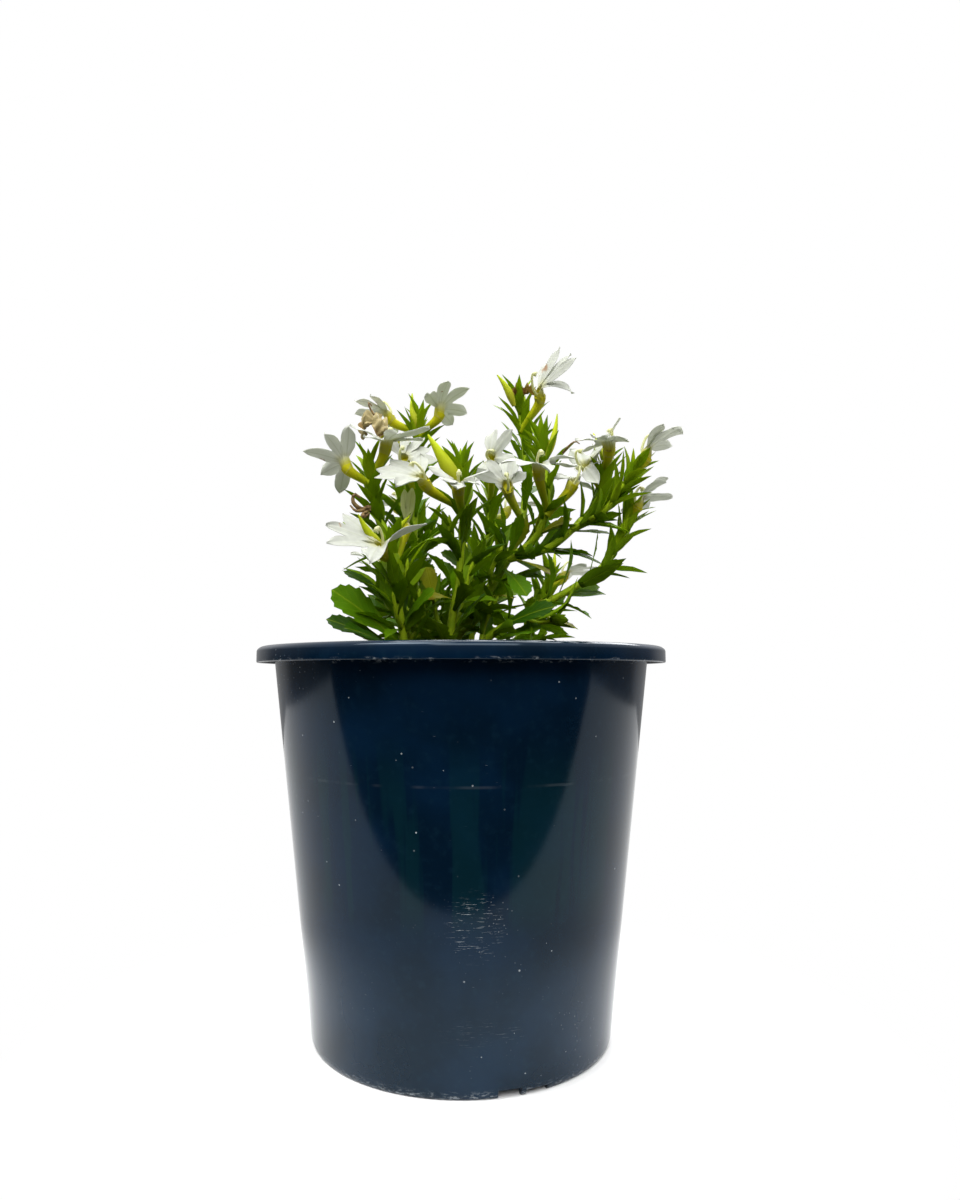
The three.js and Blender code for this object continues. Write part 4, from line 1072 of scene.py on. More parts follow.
def leaf_shape(place, spot, radius, spin, lift, size, snapped=True):
    """A leaf on a shoot. A snapped one stands on a side of the solid's five-sided stem."""
    centre, tangent = spot
    first = unit(np.cross(tangent, (0, 1, 0)))
    second = np.cross(tangent, first)
    around = place["turn"] + spin
    if snapped:
        side_turn = 360 / STEM_SIDES
        middle = (math.floor(around / side_turn) + 0.5) * side_turn
        around = middle + 0.4 * (around - middle)
    out = first * cosine(around) + second * sine(around)
    tilt = place["angle"] + lift
    toothed_from = TOOTHED_FROM if snapped else DENSER_TOOTHED_FROM
    return {"root": centre + out * (0.9 * radius), "along": tangent * cosine(tilt) + out * sine(tilt),
            "up": tangent * sine(tilt) - out * cosine(tilt), "length": place["length"] * size,
            "width": place["width"] * size, "arch": place["arch"], "age": place["age"],
            "kind": TOOTHED if place["age"] > toothed_from else BRACT}


def large_leaf(start, tip, width, facing, spin=0, lift=0, size=1):
    """A leaf from its foot to its tip, with its upper side facing a given way."""
    root = np.array(start, float)
    chord = np.array(tip, float) - root
    straight = unit(chord)
    flat = square_to(facing, straight)
    aside = straight * cosine(spin) + np.cross(straight, flat) * sine(spin)
    rise = LARGE_ARCH / 2 - lift
    return {"root": root, "along": aside * cosine(rise) + flat * sine(rise),
            "up": flat * cosine(rise) - aside * sine(rise), "length": np.linalg.norm(chord) * size,
            "width": width * size, "arch": LARGE_ARCH, "kind": LARGE, "age": LARGE_AGE}


print("numbers of a leaf at 30 mm:", at_age(30))

# %% The leaves of every shoot
# The share of a blade from which on it has to be clear of others.
LARGE_CLEAR_FROM = 0.15
CLEAR_FROM = 0.2


def radius_at(each, distance):
    """The radius of a shoot at a distance from its foot."""
    return each["foot"] + (each["tip"] - each["foot"]) * distance / each["line"][1][-1]


for stem, rows in LARGE_LEAVES.items():
    for row in rows:
        leaf = clear_shape(lambda *way: large_leaf(*row, *way), stem, LARGE_CLEAR_FROM)
        if leaf:
            leaves[stem].append(leaf)
for stem, shoots in STEMS.items():
    for each in shoots:
        length = each["line"][1][-1]
        for place in leaf_places(length, each["age"]):
            spot = place_on(each["line"], place["distance"])
            radius = radius_at(each, place["distance"])
            leaf = clear_shape(lambda *way: leaf_shape(place, spot, radius, *way), stem, CLEAR_FROM)
            if leaf:
                leaves[stem].append(leaf)
print("leaves of the solids:", sum(map(len, leaves.values())))

# %% [markdown]
# No plant is all fresh. A few leaves of this one have yellowed or dried, the tallest head ends in a dried
# crown, and withered strands hang where old flowers were. They are few, so they are placed one by one.

# %% Aged leaves, the crown and withered strands
# stem, foot, tip, width, the way it faces, how sick it is
AGED_LEAVES = [
    ("stem_right", (25, -13, 170), (37, -17, 175.5), 5.2, (-0.2, -0.8, 0.6), 0.62),
    ("stem_right", (19, -9, 163), (32, -16, 156), 3.6, (0.1, -0.7, 0.7), 0.9),
    ("stem_right", (8, -6, 150), (17, -22, 148.5), 3.6, (0, -0.5, 0.85), 0.85),
    ("stem_centre", (-9, -18, 147), (-11.5, -21, 159), 6, (0.3, -0.9, 0.1), 0.5),
    ("stem_centre", (-3, -15, 149), (-13, -24, 149), 5, (0.1, -0.6, 0.8), 0.7),
    ("stem_left", (-21, -8.5, 156), (-26, -19, 160), 5, (-0.2, -0.8, 0.5), 0.35),
]
AGED_TWIST = 0.3
# foot and tip of each dried scale
CROWN = [((19.5 + 1.05 * i, 6.5 - 0.4 * (i % 2), 224.5 + 0.3 * (i % 3)),
          (18.4 + 1.35 * i, 5.5 - 0.5 * (i % 3), 227 + 0.8 * ((i * 5) % 3))) for i in range(7)]
CROWN_WIDTH = 2.2
CROWN_FACING = (0.1, -1, 0.1)
DRY_AS_STRAW = 1.5
# stem, radius, path of each withered strand
CURLS = [
    ("stem_left", 0.85, (-30.5, -14, 180), (-33, -17, 178.5), (-35.5, -19, 180.5), (-35, -19.5, 183),
     (-33.2, -18.5, 182)),
    ("stem_left", 0.7, (-30.5, -14, 179), (-32.5, -18, 176.5), (-31.5, -19.5, 175.5), (-30, -19, 177)),
    ("stem_left", 0.6, (-32, -16, 178.5), (-34.5, -19.5, 177.5), (-36.5, -18.5, 179.5)),
    ("stem_right", 0.36, (33.5, -19, 196.6), (35.4, -21, 198.6), (37.2, -22, 199.6), (38.6, -22, 198.8)),
    ("stem_tall_left", 0.42, (-28.5, 3, 212), (-30, 1.5, 214.5), (-32.2, 0.5, 218), (-32.6, 1, 220),
     (-31.6, 2, 219)),
]
# Two buds lean out further than their solids could. Before the colon is the tip of the bud in the table.
LEANING = {
    (15, 6, 231): ("stem_right", (19, 5, 220), (12.8, 3, 230.5), 1.3),
    (-30, -30, 171.5): ("stem_front_left", (-23.5, -31, 162.5), (-31.6, -37.5, 172.8), 1.4),
}
DRAWN_BUDS = [LEANING.get(bud[2], bud) for bud in BUDS]
for stem, start, tip, width, facing, sick in AGED_LEAVES:
    leaves[stem].append(large_leaf(start, tip, width, facing) | {"sick": sick, "twist": AGED_TWIST})
for start, tip in CROWN:
    scale = large_leaf(start, tip, CROWN_WIDTH, CROWN_FACING)
    leaves["stem_right"].append(scale | {"sick": DRY_AS_STRAW, "kind": BRACT})
print(len(AGED_LEAVES), "aged leaves,", len(CROWN), "scales,", len(CURLS), "withered strands")

# %% [markdown]
# The real plant is denser than its solids can be. So a second generation of leaves fills the heads with
# small bracts and the foot of the plant with short leafy twigs. It may come closer to its neighbours, as
# leaves on a bush do, but it still keeps off stems and petals.

# %% The denser leaves
DENSER_CLEAR_FROM = 0.45
DENSER_EASE = 0.42
SHOOT_PACE = 0.55
TWIG_PACE = 0.5
TWIG_STEPS = 24
TWIGS = {
    # where along the first shoot, turn about it, length, age
    "stem_front_left": [(0.25, 200, 14, 46), (0.4, 330, 12, 40), (0.3, 80, 12, 46), (0.55, 150, 11, 30)],
    "stem_left": [(0.12, 180, 16, 44), (0.25, 60, 14, 40), (0.3, 300, 15, 40), (0.45, 200, 12, 30),
        (0.55, 20, 12, 26)],
    "stem_tall_left": [(0.1, 190, 16, 46), (0.2, 350, 15, 44), (0.32, 100, 15, 38), (0.42, 260, 14, 34),
        (0.55, 20, 12, 28)],
    "stem_centre": [(0.15, 340, 15, 46), (0.3, 120, 15, 40), (0.42, 220, 13, 34), (0.2, 240, 15, 46),
        (0.55, 40, 12, 28)],
    "stem_back_left": [(0.15, 100, 17, 46), (0.3, 250, 15, 40), (0.48, 10, 14, 32), (0.6, 180, 12, 26)],
    "stem_back_right": [(0.12, 330, 18, 46), (0.25, 200, 17, 42), (0.4, 60, 15, 34), (0.5, 300, 14, 30),
        (0.62, 170, 12, 24)],
    "stem_right": [(0.3, 120, 16, 44), (0.45, 240, 15, 44), (0.6, 330, 14, 40), (0.75, 60, 14, 36)],
    "stem_low_right": [(0.1, 300, 16, 46), (0.33, 160, 14, 36)],
    "stem_rear_left": [(0.2, 120, 18, 44)],
    "stem_rear_middle": [(0.2, 60, 18, 44), (0.45, 240, 15, 36)],
    "stem_rear_right": [(0.2, 200, 18, 44), (0.45, 20, 15, 36)],
}
twigs = {stem: [] for stem in STEMS}
for stem, share, turn, length, age in ((stem, *row) for stem, rows in TWIGS.items() for row in rows):
    main = STEMS[stem][0]
    centre, tangent = place_on(main["line"], share * main["line"][1][-1])
    first = unit(np.cross(tangent, (0, 1, 0)))
    out = first * cosine(turn) + np.cross(tangent, first) * sine(turn)
    middle = centre + (out * 0.36 + tangent * 0.36) * length
    tip = centre + (out * 0.5 + tangent * 0.95) * length
    twig = shoot(1.0, centre, middle, tip, tip=0.6, age=age * 0.5)
    twig["line"] = smooth_path(twig["path"], TWIG_STEPS)
    twigs[stem].append(twig)


def thicken(stem, each, pace):
    """More leaves on a shoot, at a share of the usual distance apart."""
    length = each["line"][1][-1]
    from_tip, turn = 0.4, 180 * drawn_number()
    while from_tip < length - 1.5:
        age = from_tip + each["age"]
        size, width, angle, step = at_age(age)
        turn += GOLDEN_ANGLE + 25 * drawn_number()
        from_tip += step * pace * (1 + age / 70) * (1 + 0.3 * drawn_number())
        distance = max(length - from_tip, 0.5)
        place = {"turn": turn, "length": size * (0.88 + 0.18 * drawn_number()), "width": width * 0.84,
                 "angle": angle + 8 * drawn_number(), "arch": 6 + 0.5 * age + 10 * drawn_number(),
                 "age": age}
        radius = radius_at(each, distance)
        spot = place_on(each["line"], distance)

        def make_shape(*way):
            return leaf_shape(place, spot, radius, *way, snapped=False)

        leaf = clear_shape(make_shape, stem, DENSER_CLEAR_FROM, DENSER_EASE)
        if leaf:
            leaves[stem].append(leaf)


for stem, shoots in STEMS.items():
    for each in shoots:
        thicken(stem, each, SHOOT_PACE)
    for twig in twigs[stem]:
        thicken(stem, twig, TWIG_PACE)
print("all leaves:", sum(map(len, leaves.values())))

# %% [markdown]
# ## Leaves
#
# A leaf is drawn once, flat, one long and one wide: a slim bract, a toothed leaf, and a large leaf that
# narrows to a stalk and has coarse teeth on its outer half. Geometry Nodes set one of them on each point
# of the plant and then bend every copy by its own numbers: length, width, arch, the fold along the
# midrib and the waves of the edge. So hundreds of leaves, no two alike, come from three drawings.
# The numbers "blade" on every corner tell the material how far across and along the leaf a place is.
# Veins, edges and tips are painted by them.

# %% The drawings of the leaves
OUTLINES = {
    BRACT: [(0, 0.5), (0.12, 0.72), (0.28, 0.96), (0.44, 1), (0.64, 0.74), (0.84, 0.34), (1, 0)],
    TOOTHED: [(0, 0.26), (0.2, 0.36), (0.4, 0.66), (0.54, 0.94), (0.57, 0.8), (0.68, 0.98), (0.71, 0.78),
              (0.81, 0.68), (0.835, 0.46), (1, 0)],
    LARGE: [(0, 0.16), (0.18, 0.2), (0.36, 0.4), (0.5, 0.66), (0.62, 0.92), (0.65, 0.8), (0.77, 1.02),
            (0.795, 0.86), (0.88, 0.92), (0.9, 0.7), (0.955, 0.6), (0.965, 0.34), (1, 0.04)],
}
LEAF_COLUMNS = {BRACT: 2, TOOTHED: 2, LARGE: 4}
POINTED_BELOW = 0.05


def store(piece, name, values):
    """Keeps a number or an arrow for each corner of a mesh under a name."""
    values = np.array(values, float)
    if values.ndim == 2:
        stored = piece.data.attributes.new(name, "FLOAT_VECTOR", "POINT")
        stored.data.foreach_set("vector", values.ravel())
    else:
        stored = piece.data.attributes.new(name, "FLOAT", "POINT")
        stored.data.foreach_set("value", values)


def leaf_drawing(name, outline, columns):
    """A flat closed leaf. Each corner keeps its place across, along and off the leaf as 'blade'."""
    blade, faces, edges = [], [], set()
    rows = []
    for share, breadth in outline:
        if breadth < POINTED_BELOW:
            blade.append((0, share, 0))
            rows.append(([len(blade) - 1] * (columns + 1),) * 2)
            continue
        over, under = [], []
        for j in range(columns + 1):
            x = (j / columns - 0.5) * breadth
            thick = 1 - (2 * j / columns - 1) ** 2
            over.append(len(blade))
            blade.append((x, share, thick))
            if j in (0, columns):
                under.append(over[-1])
            else:
                under.append(len(blade))
                blade.append((x, share, -thick))
        rows.append((over, under))
    for (low, low_under), (high, high_under) in zip(rows, rows[1:]):
        for j in range(columns):
            for face in ([low[j], low[j + 1], high[j + 1], high[j]],
                         [low_under[j + 1], low_under[j], high_under[j], high_under[j + 1]]):
                faces.append([c for i, c in enumerate(face) if c not in face[:i]])
        edges |= {frozenset((low[0], high[0])), frozenset((low[-1], high[-1]))}
    over, under = rows[0]
    faces.append(over[::-1] + under[1:-1])
    made = new_object(name, blade, faces)
    store(made, "blade", blade)
    for edge in made.data.edges:
        edge.use_edge_sharp = frozenset(edge.vertices) in edges
    return made


drawings = {}
for kind, outline in OUTLINES.items():
    drawings[kind] = leaf_drawing(f"leaf drawing {kind}", outline, LEAF_COLUMNS[kind])
print("faces of the drawings:", [len(drawing.data.polygons) for drawing in drawings.values()])

# %% Geometry Nodes on a piece
def open_group(name, inputs, output):
    """An empty group of Geometry Nodes with named inputs and one output."""
    group = bpy.data.node_groups.new(name, "GeometryNodeTree")
    for title, kind in inputs.items():
        group.interface.new_socket(name=title, in_out="INPUT", socket_type="NodeSocket" + kind)
    group.interface.new_socket(name=output, in_out="OUTPUT", socket_type="NodeSocketGeometry")
    return group


def close_group(group, geometry, material):
    """Makes copies real, gives them their material and sends them out."""
    tree = Tree(group)
    real = tree.node("GeometryNodeRealizeInstances", {}, geometry)
    painted = tree.node("GeometryNodeSetMaterial", {}, Geometry=real, Material=material)
    result = group.nodes.new("NodeGroupOutput")
    group.links.new(painted.socket, result.inputs[0])
    return group


def run_group(piece, group, given):
    """Runs a group on a piece with the given inputs. The result becomes the piece's own mesh."""
    modifier = piece.modifiers.new(group.name, "NODES")
    modifier.node_group = group
    sockets = {item.name: item.identifier for item in group.interface.items_tree if item.in_out == "INPUT"}
    for title, value in given.items():
        modifier[sockets[title]] = value
    return plain_mesh(piece)


print("groups:", len(bpy.data.node_groups))

# %% The tree that grows a stem with its leaves
LEAF_THICKNESS = 0.3
LIMB_SIDES = 10
WAVES = 17


def growing_tree():
    """Points become leaves and chains of edges become limbs."""
    inputs = {"Skeleton": "Geometry"} | {f"Drawing {kind}": "Object" for kind in drawings}
    inputs |= {"Thickness": "Float", "Sides": "Int", "Material": "Material"}
    group = open_group("grow leaves and limbs", inputs, "Plant")
    tree = Tree(group)
    given = tree.node("NodeGroupInput", {}, output="Skeleton")

    def number(name, kind="FLOAT"):
        return tree.node("GeometryNodeInputNamedAttribute", {"data_type": kind}, Name=name)

    def arrow(name):
        return number(name, "FLOAT_VECTOR")

    kind = number("kind")
    joined = tree.node("GeometryNodeJoinGeometry", {})
    for which in drawings:
        drawn_leaf = given.output(f"Drawing {which}")
        drawing = tree.node("GeometryNodeObjectInfo", {}, Object=drawn_leaf, output="Geometry")
        chosen = kind.above(which - 0.5) * kind.below(which + 0.5)
        copies = tree.node("GeometryNodeInstanceOnPoints", {}, Points=given, Selection=chosen,
                           Instance=drawing)
        group.links.new(copies.socket, joined.socket.node.inputs[0])
    leaf = tree.node("GeometryNodeRealizeInstances", {}, joined)
    blade = arrow("blade")
    across, share, rise = blade.part("X"), blade.part("Y"), blade.part("Z")
    along, up, root = arrow("along"), arrow("up"), arrow("root")
    length, width, bend = number("length"), number("width"), number("arch")
    turn = bend * share
    middle = root + along * (length * turn.sin() / bend) - up * (length * (1 - turn.cos()) / bend)
    normal = up * turn.cos() + along * turn.sin()
    side = tree.node("ShaderNodeVectorMath", {"operation": "CROSS_PRODUCT"}, along, up)
    fold = number("fold")
    wave = (share * WAVES + number("phase") * 9).sin() * abs(across) * number("wave")
    off = abs(across) * width * fold.sin() + rise * given.output("Thickness") * 0.5 + wave * width
    twist = number("twist") * share
    hand = side * twist.cos() + normal * twist.sin()
    facing = normal * twist.cos() - side * twist.sin()
    at = middle + hand * (across * width * fold.cos()) + facing * off
    leaf = tree.node("GeometryNodeSetPosition", {}, Geometry=leaf, Position=at)
    line = tree.node("GeometryNodeMeshToCurve", {}, Mesh=given)
    line = tree.node("GeometryNodeSetCurveRadius", {}, Curve=line, Radius=number("radius"))
    ring = tree.node("GeometryNodeCurvePrimitiveCircle", {}, Resolution=given.output("Sides"), Radius=1.0)
    limb = tree.node("GeometryNodeCurveToMesh", {}, Curve=line, Profile_Curve=ring, Fill_Caps=True,
                     Scale=number("radius"))
    both = tree.node("GeometryNodeJoinGeometry", {})
    for made in (leaf, limb):
        group.links.new(made.socket, both.socket.node.inputs[0])
    smooth = tree.node("GeometryNodeSetShadeSmooth", {}, Geometry=both, Shade_Smooth=True)
    return close_group(group, smooth, given.output("Material"))


grow = growing_tree()
print("nodes in the growing tree:", len(grow.nodes))

# %% [markdown]
# ## Foliage
#
# Fan-flower leaves are a little fleshy and softly glossy. Young bracts are yellow-green and let light
# through; old leaves at the foot are deep green, with a pale midrib and a greyer underside. Here and
# there one has yellowed, or its teeth have dried. Each leaf carries its age, its tone and how far it has
# withered as numbers, so one material serves them all.

# %% What the foliage is made of
STEM, TUBE, BUD, DRY = 1, 2, 3, 4
foliage, nodes = new_material("fan flower foliage")
place = nodes.place()
blade = nodes.attribute("blade", "Vector")
across, share, rise = blade.part("X"), blade.part("Y"), blade.part("Z")
youth, tone, sick = nodes.attribute("youth"), nodes.attribute("tone"), nodes.attribute("sick")
part = nodes.attribute("part")
is_leaf = part.below(STEM - 0.5)
is_tube = part.above(TUBE - 0.5) * part.below(TUBE + 0.5)
is_bud = part.above(BUD - 0.5) * part.below(BUD + 0.5)
is_dry = part.above(DRY - 0.5)
print("nodes that tell the parts:", len(foliage.node_tree.nodes))

# %% The green of the leaves
# A low tone gives the darker green. The large leaves get a lower tone as painted shade.
old_green = nodes.mix(tone, 0x224901, 0x679804)
young_green = nodes.mix(tone, 0x7fa401, 0xaabf03)
leaf_colour = nodes.mix(youth, old_green, young_green)
midrib = 1 - abs(across).ramp(0.0, 0.05)
side_veins = (share * 46 - abs(across) * 30).sin().ramp(0.82, 1.0) * abs(across).ramp(0.03, 0.1)
veins = (midrib * 0.75 + side_veins * 0.22) * is_leaf
leaf_colour = nodes.mix(veins * 0.5, leaf_colour, 0xa4b81c)
blotches = nodes.noise(place, 0.6, 4, 0.6)
leaf_colour = nodes.mix(blotches.ramp(0.5, 0.75) * 0.3, leaf_colour, 0x3a6204)
underside = (0 - rise).ramp(-0.02, 0.02) * is_leaf
leaf_colour = nodes.mix(underside * 0.35, leaf_colour, 0x6e8e12)
print("nodes with the leaves:", len(foliage.node_tree.nodes))

# %% The green of stems, tubes and buds
stem_noise = nodes.noise(place * (1, 1, 0.3), 1.2, 3)
stem_colour = nodes.mix(youth, nodes.mix(tone, 0x6c8810, 0x94aa1a), 0xa2bc1c)
stem_colour = nodes.mix(stem_noise.ramp(0.58, 0.7) * 0.5, stem_colour, 0x3a3a18)
tube_colour = nodes.mix(share.ramp(0.2, 1), 0xa0ac0e, 0xc0ba18)
tube_ribs = (nodes.attribute("around") * 60).sin().ramp(0.3, 1)
tube_colour = nodes.mix(tube_ribs * 0.3, tube_colour, 0x74780e)
bud_colour = nodes.mix(share.ramp(0.1, 0.9), 0xa3a528, 0xb9c81c)
bud_colour = nodes.mix(tube_ribs * 0.4, bud_colour, 0x8fa31c)
stem_colour = nodes.mix(is_tube, stem_colour, tube_colour)
stem_colour = nodes.mix(is_bud, stem_colour, bud_colour)
foliage_colour = nodes.mix(is_leaf, stem_colour, leaf_colour)
print("nodes with the stems:", len(foliage.node_tree.nodes))

# %% What has withered
near_edge = abs(across) * 2.4 + share.ramp(0.55, 1) * 0.8
dry_edge = (near_edge + nodes.noise(place, 0.9, 3) - 1.2).ramp(0.25, 0.45)
yellowed = (sick * 2).clamped() * is_leaf
dried = ((sick - 0.4) * 1.8).clamped() * dry_edge * is_leaf
foliage_colour = nodes.mix(yellowed * 0.75, foliage_colour, 0xa8a624)
foliage_colour = nodes.mix(dried, foliage_colour, 0x6b3f16)
straw = nodes.mix(blotches.ramp(0.4, 0.65), 0xa67a48, 0x5a3216)
foliage_colour = nodes.mix(sick.ramp(1.0, 1.4) * is_leaf, foliage_colour, straw)
strand_colour = nodes.mix(blotches.ramp(0.4, 0.65), 0x967c54, 0x4a3520)
foliage_colour = nodes.mix(is_dry, foliage_colour, strand_colour)
specks = nodes.spots(place, 0.8, 0.1) * nodes.noise(place, 0.12, 2).ramp(0.56, 0.62)
foliage_colour = nodes.mix(specks * 0.8, foliage_colour, 0x20160c)
print("nodes with what has withered:", len(foliage.node_tree.nodes))

# %% The foliage's surface
LIGHT_THROUGH = 0.12
MORE_THROUGH_LEAVES = 0.3
leaf_relief = nodes.noise(place, 1.6, 3) * 0.5 - veins * 0.8 + tube_ribs * (1 - is_leaf) * 0.5
leaf_bump = nodes.bump(leaf_relief, 0.5, 0.3)
leaf_gloss = 0.42 + blotches * 0.2 + underside * 0.25
surface = nodes.plain(Base_Color=foliage_colour, Roughness=leaf_gloss, Normal=leaf_bump,
                      Specular_IOR_Level=0.1)
glowing = nodes.mix(0.5, foliage_colour, 0xc4dc04)
through = nodes.node("ShaderNodeBsdfTranslucent", {}, Color=glowing, Normal=leaf_bump)
share_through = MORE_THROUGH_LEAVES * is_leaf + LIGHT_THROUGH
finish_material(nodes, nodes.node("ShaderNodeMixShader", {}, share_through, surface, through))
print("foliage nodes:", len(foliage.node_tree.nodes))

# %% Skeletons
LIMB_STEP = 1.0
NO_LEAF = -1
NUMBERS = ["kind", "length", "width", "arch", "fold", "wave", "phase", "twist", "youth", "tone", "sick",
           "part", "radius"]
ARROWS = ["root", "along", "up", "blade"]
UNSET = {name: 0 for name in NUMBERS} | {name: (0, 0, 0) for name in ARROWS} | {"kind": NO_LEAF}
# A leaf is young up to the first age and old from the second one on. From a third one on, a few are sick.
YOUNG_UNTIL = 4
OLD_FROM = 38
SICK_FROM = 30


class Skeleton:
    """Points for leaves and chains of edges for limbs, each with its numbers."""

    def __init__(self):
        self.points, self.edges = [], []
        self.numbers = {name: [] for name in UNSET}

    def add(self, at, **numbers):
        self.points.append(at)
        for name, unset in UNSET.items():
            self.numbers[name].append(numbers.get(name, unset))

    def leaf(self, leaf):
        """A point that becomes a leaf. A large one is darker by painted shade, flatter and never sick by
        chance.
        """
        is_large = leaf["kind"] == LARGE
        youth = min(max(1 - (leaf["age"] - YOUNG_UNTIL) / (OLD_FROM - YOUNG_UNTIL), 0), 1) ** 1.3
        # Large leaves sit low under the plant, and their lower tone is painted shade.
        tone = 0.5 + 0.5 * drawn_number() - (0.4 if is_large else 0)
        sick = leaf.get("sick", 0)
        if leaf["age"] > SICK_FROM and not is_large and drawn_number() > 0.9:
            sick = 0.5 + 0.4 * drawn_number()
        self.add(leaf["root"], kind=leaf["kind"], root=leaf["root"] * MM, along=leaf["along"], up=leaf["up"],
                 length=leaf["length"] * MM, width=leaf["width"] * MM, arch=math.radians(leaf["arch"]),
                 fold=0.2 if is_large else 0.42 + 0.3 * drawn_number(),
                 wave=0.05 if leaf["kind"] == BRACT else 0.1, phase=drawn_number(),
                 twist=leaf.get("twist", 0.5 * drawn_number()), youth=youth, tone=tone, sick=sick)

    def limb(self, rings, part, youth_at):
        """A chain through (centre, radius) pairs, in short steps."""
        centres = np.array([ring[0] for ring in rings], float)
        radii = [ring[1] for ring in rings]
        far = np.concatenate([[0], np.cumsum(np.linalg.norm(np.diff(centres, axis=0), axis=1))])
        count = max(int(far[-1] / LIMB_STEP), 4)
        for i in range(count + 1):
            share = i / count
            walked = share * far[-1]
            at = [np.interp(walked, far, centres[:, axis]) for axis in range(3)]
            self.add(at, radius=np.interp(walked, far, radii) * MM, part=part, youth=youth_at(share),
                     tone=0.5 + 0.3 * math.sin(i * 0.9), blade=(0, share, 0))
            if i:
                self.edges.append((len(self.points) - 2, len(self.points) - 1))

    def mesh(self, name):
        made = new_object(name, self.points, [], edges=self.edges)
        for key, values in self.numbers.items():
            store(made, key, values)
        return made


print("numbers on each point:", len(NUMBERS) + 3 * len(ARROWS))

# %% Horns and tubes
HORN_STEPS = 16
HORN_WIDEST_AT = 0.35
HORN_SWAY = 0.06
HORN_POINT = 0.12
TUBE_STEPS = 14
# Tubes and buds are a little thicker than their solids, which are flat between their few corners.
THICKER = 1.12


def horn(start, tip, radius, bend):
    """A bud: a slim horn that swells low down and curves to its point."""
    start, tip = np.array(start, float), np.array(tip, float)
    chord = tip - start
    aside = square_to((bend, -1, 0.2), unit(chord)) * HORN_SWAY * np.linalg.norm(chord)
    rings = []
    for i in range(HORN_STEPS + 1):
        t = i / HORN_STEPS
        if t < HORN_WIDEST_AT:
            swell = 0.5 + 0.5 * math.sin(t / HORN_WIDEST_AT * math.pi / 2)
        else:
            swell = 1 - (1 - HORN_POINT) * ((t - HORN_WIDEST_AT) / (1 - HORN_WIDEST_AT)) ** 1.3
        at = start + chord * t + aside * math.sin(math.pi * t)
        rings.append((at, THICKER * radius * max(swell, HORN_POINT)))
    return rings


def flower_tube(flower):
    """The tube: slim at its foot and flared at its mouth, with a soft curve."""
    ways = flower_directions(flower)
    foot, mouth = np.array(flower["foot"], float), ways["mouth"]
    reach = np.linalg.norm(mouth - foot)
    low = foot + ways["tube"] * reach * 0.4
    high = mouth - ways["out"] * reach * 0.25
    rings = []
    for i in range(TUBE_STEPS + 1):
        t = i / TUBE_STEPS
        at = (1 - t) ** 3 * foot + 3 * t * (1 - t) ** 2 * low + 3 * t * t * (1 - t) * high + t ** 3 * mouth
        swell = THICKER * (TUBE_FOOT_RADIUS + (TUBE_MOUTH_RADIUS - TUBE_FOOT_RADIUS) * t ** 1.4)
        rings.append((at, swell * (1.25 - 0.25 * min(t * 6, 1))))
    return rings


print("rings of a tube:", len(flower_tube(BLOOMS[0])))

# %% The skeleton of each stem
STRAND_STEPS = 24
STEM_OLD_AFTER = 45
STEM_TIP = 1.2


def shoot_rings(each):
    """The rings of a shoot, with a blunt tip."""
    points, far = each["line"]
    rings = [(point, radius_at(each, distance)) for point, distance in zip(points, far)]
    end = points[-1] + unit(points[-1] - points[-2]) * STEM_TIP
    return rings + [(end, 0.25 * each["tip"])]


def stem_skeleton(stem):
    skeleton = Skeleton()
    for i, each in enumerate(STEMS[stem] + twigs[stem]):
        length = each["line"][1][-1]
        rings = shoot_rings(each)
        if i == 0:
            rings.insert(0, (rings[0][0] - np.array([0, 0, ROOTED]), each["foot"]))

        def youth_at(share):
            from_tip = length - share * length
            return min(max((STEM_OLD_AFTER - from_tip - each["age"]) / STEM_OLD_AFTER, 0), 1)

        skeleton.limb(rings, STEM, youth_at)
    for flower in BLOOMS:
        if flower["stem"] == stem:
            skeleton.limb(flower_tube(flower), TUBE, lambda share: share)
    for owner, start, tip, radius in DRAWN_BUDS:
        if owner == stem:
            skeleton.limb(horn(start, tip, radius, start[0]), BUD, lambda share: share)
    for owner, radius, *path in CURLS:
        if owner == stem:
            points, _ = smooth_path(path, STRAND_STEPS)
            rings = [(at, radius * (1.15 - 0.7 * i / STRAND_STEPS)) for i, at in enumerate(points)]
            skeleton.limb(rings, DRY, lambda share: 0)
    for leaf in leaves[stem]:
        skeleton.leaf(leaf)
    return skeleton.mesh(stem + "_plant")


plants = {stem: stem_skeleton(stem) for stem in STEMS}
print("skeleton points:", sum(len(made.data.vertices) for made in plants.values()))

# %% Grow them
given = {f"Drawing {kind}": drawing for kind, drawing in drawings.items()}
given |= {"Thickness": LEAF_THICKNESS * MM, "Sides": LIMB_SIDES, "Material": foliage}
for stem, piece in plants.items():
    run_group(piece, grow, given)
    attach(piece, "root")
    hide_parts(stem)
for drawing in drawings.values():
    bpy.data.objects.remove(drawing)
print("faces:", {stem: len(piece.data.polygons) for stem, piece in plants.items()})

# %% [markdown]
# ## Flowers
#
# The petals of a fan flower are joined at the foot into one sheet, which is slit along its back and
# opens like a hand. A solid for each petal would show seams. So a flower is one sheet of rows and columns:
# it starts as a ring in the tube's mouth, opens through the throat, stays whole over the web, and then
# parts into petals with a raised midrib, thin wavy wings and a point. Out of the slit leans the style, a
# hooked rod with a small hairy cup at its end.

# %% One flower's sheet
TUBE_COVER = 3
PETAL_COLUMNS = 8
THROAT_ROWS = 6
WEB_ROWS = 3
PETAL_ROWS = 14
PETAL_HALF_THICKNESS = 0.14
PETAL_SHAPE = [(0, 0.84), (0.3, 0.92), (0.48, 1), (0.68, 1), (0.81, 0.88), (0.9, 0.6), (0.95, 0.34),
               (1, 0.03)]
BROADER = 1.1
# The sheet runs this far round the tube each way from its front. The rest is the slit.
SLIT_FROM = 168
# In rows: over how many a petal narrows from the web to its own shape.
EASED_ROWS = 3
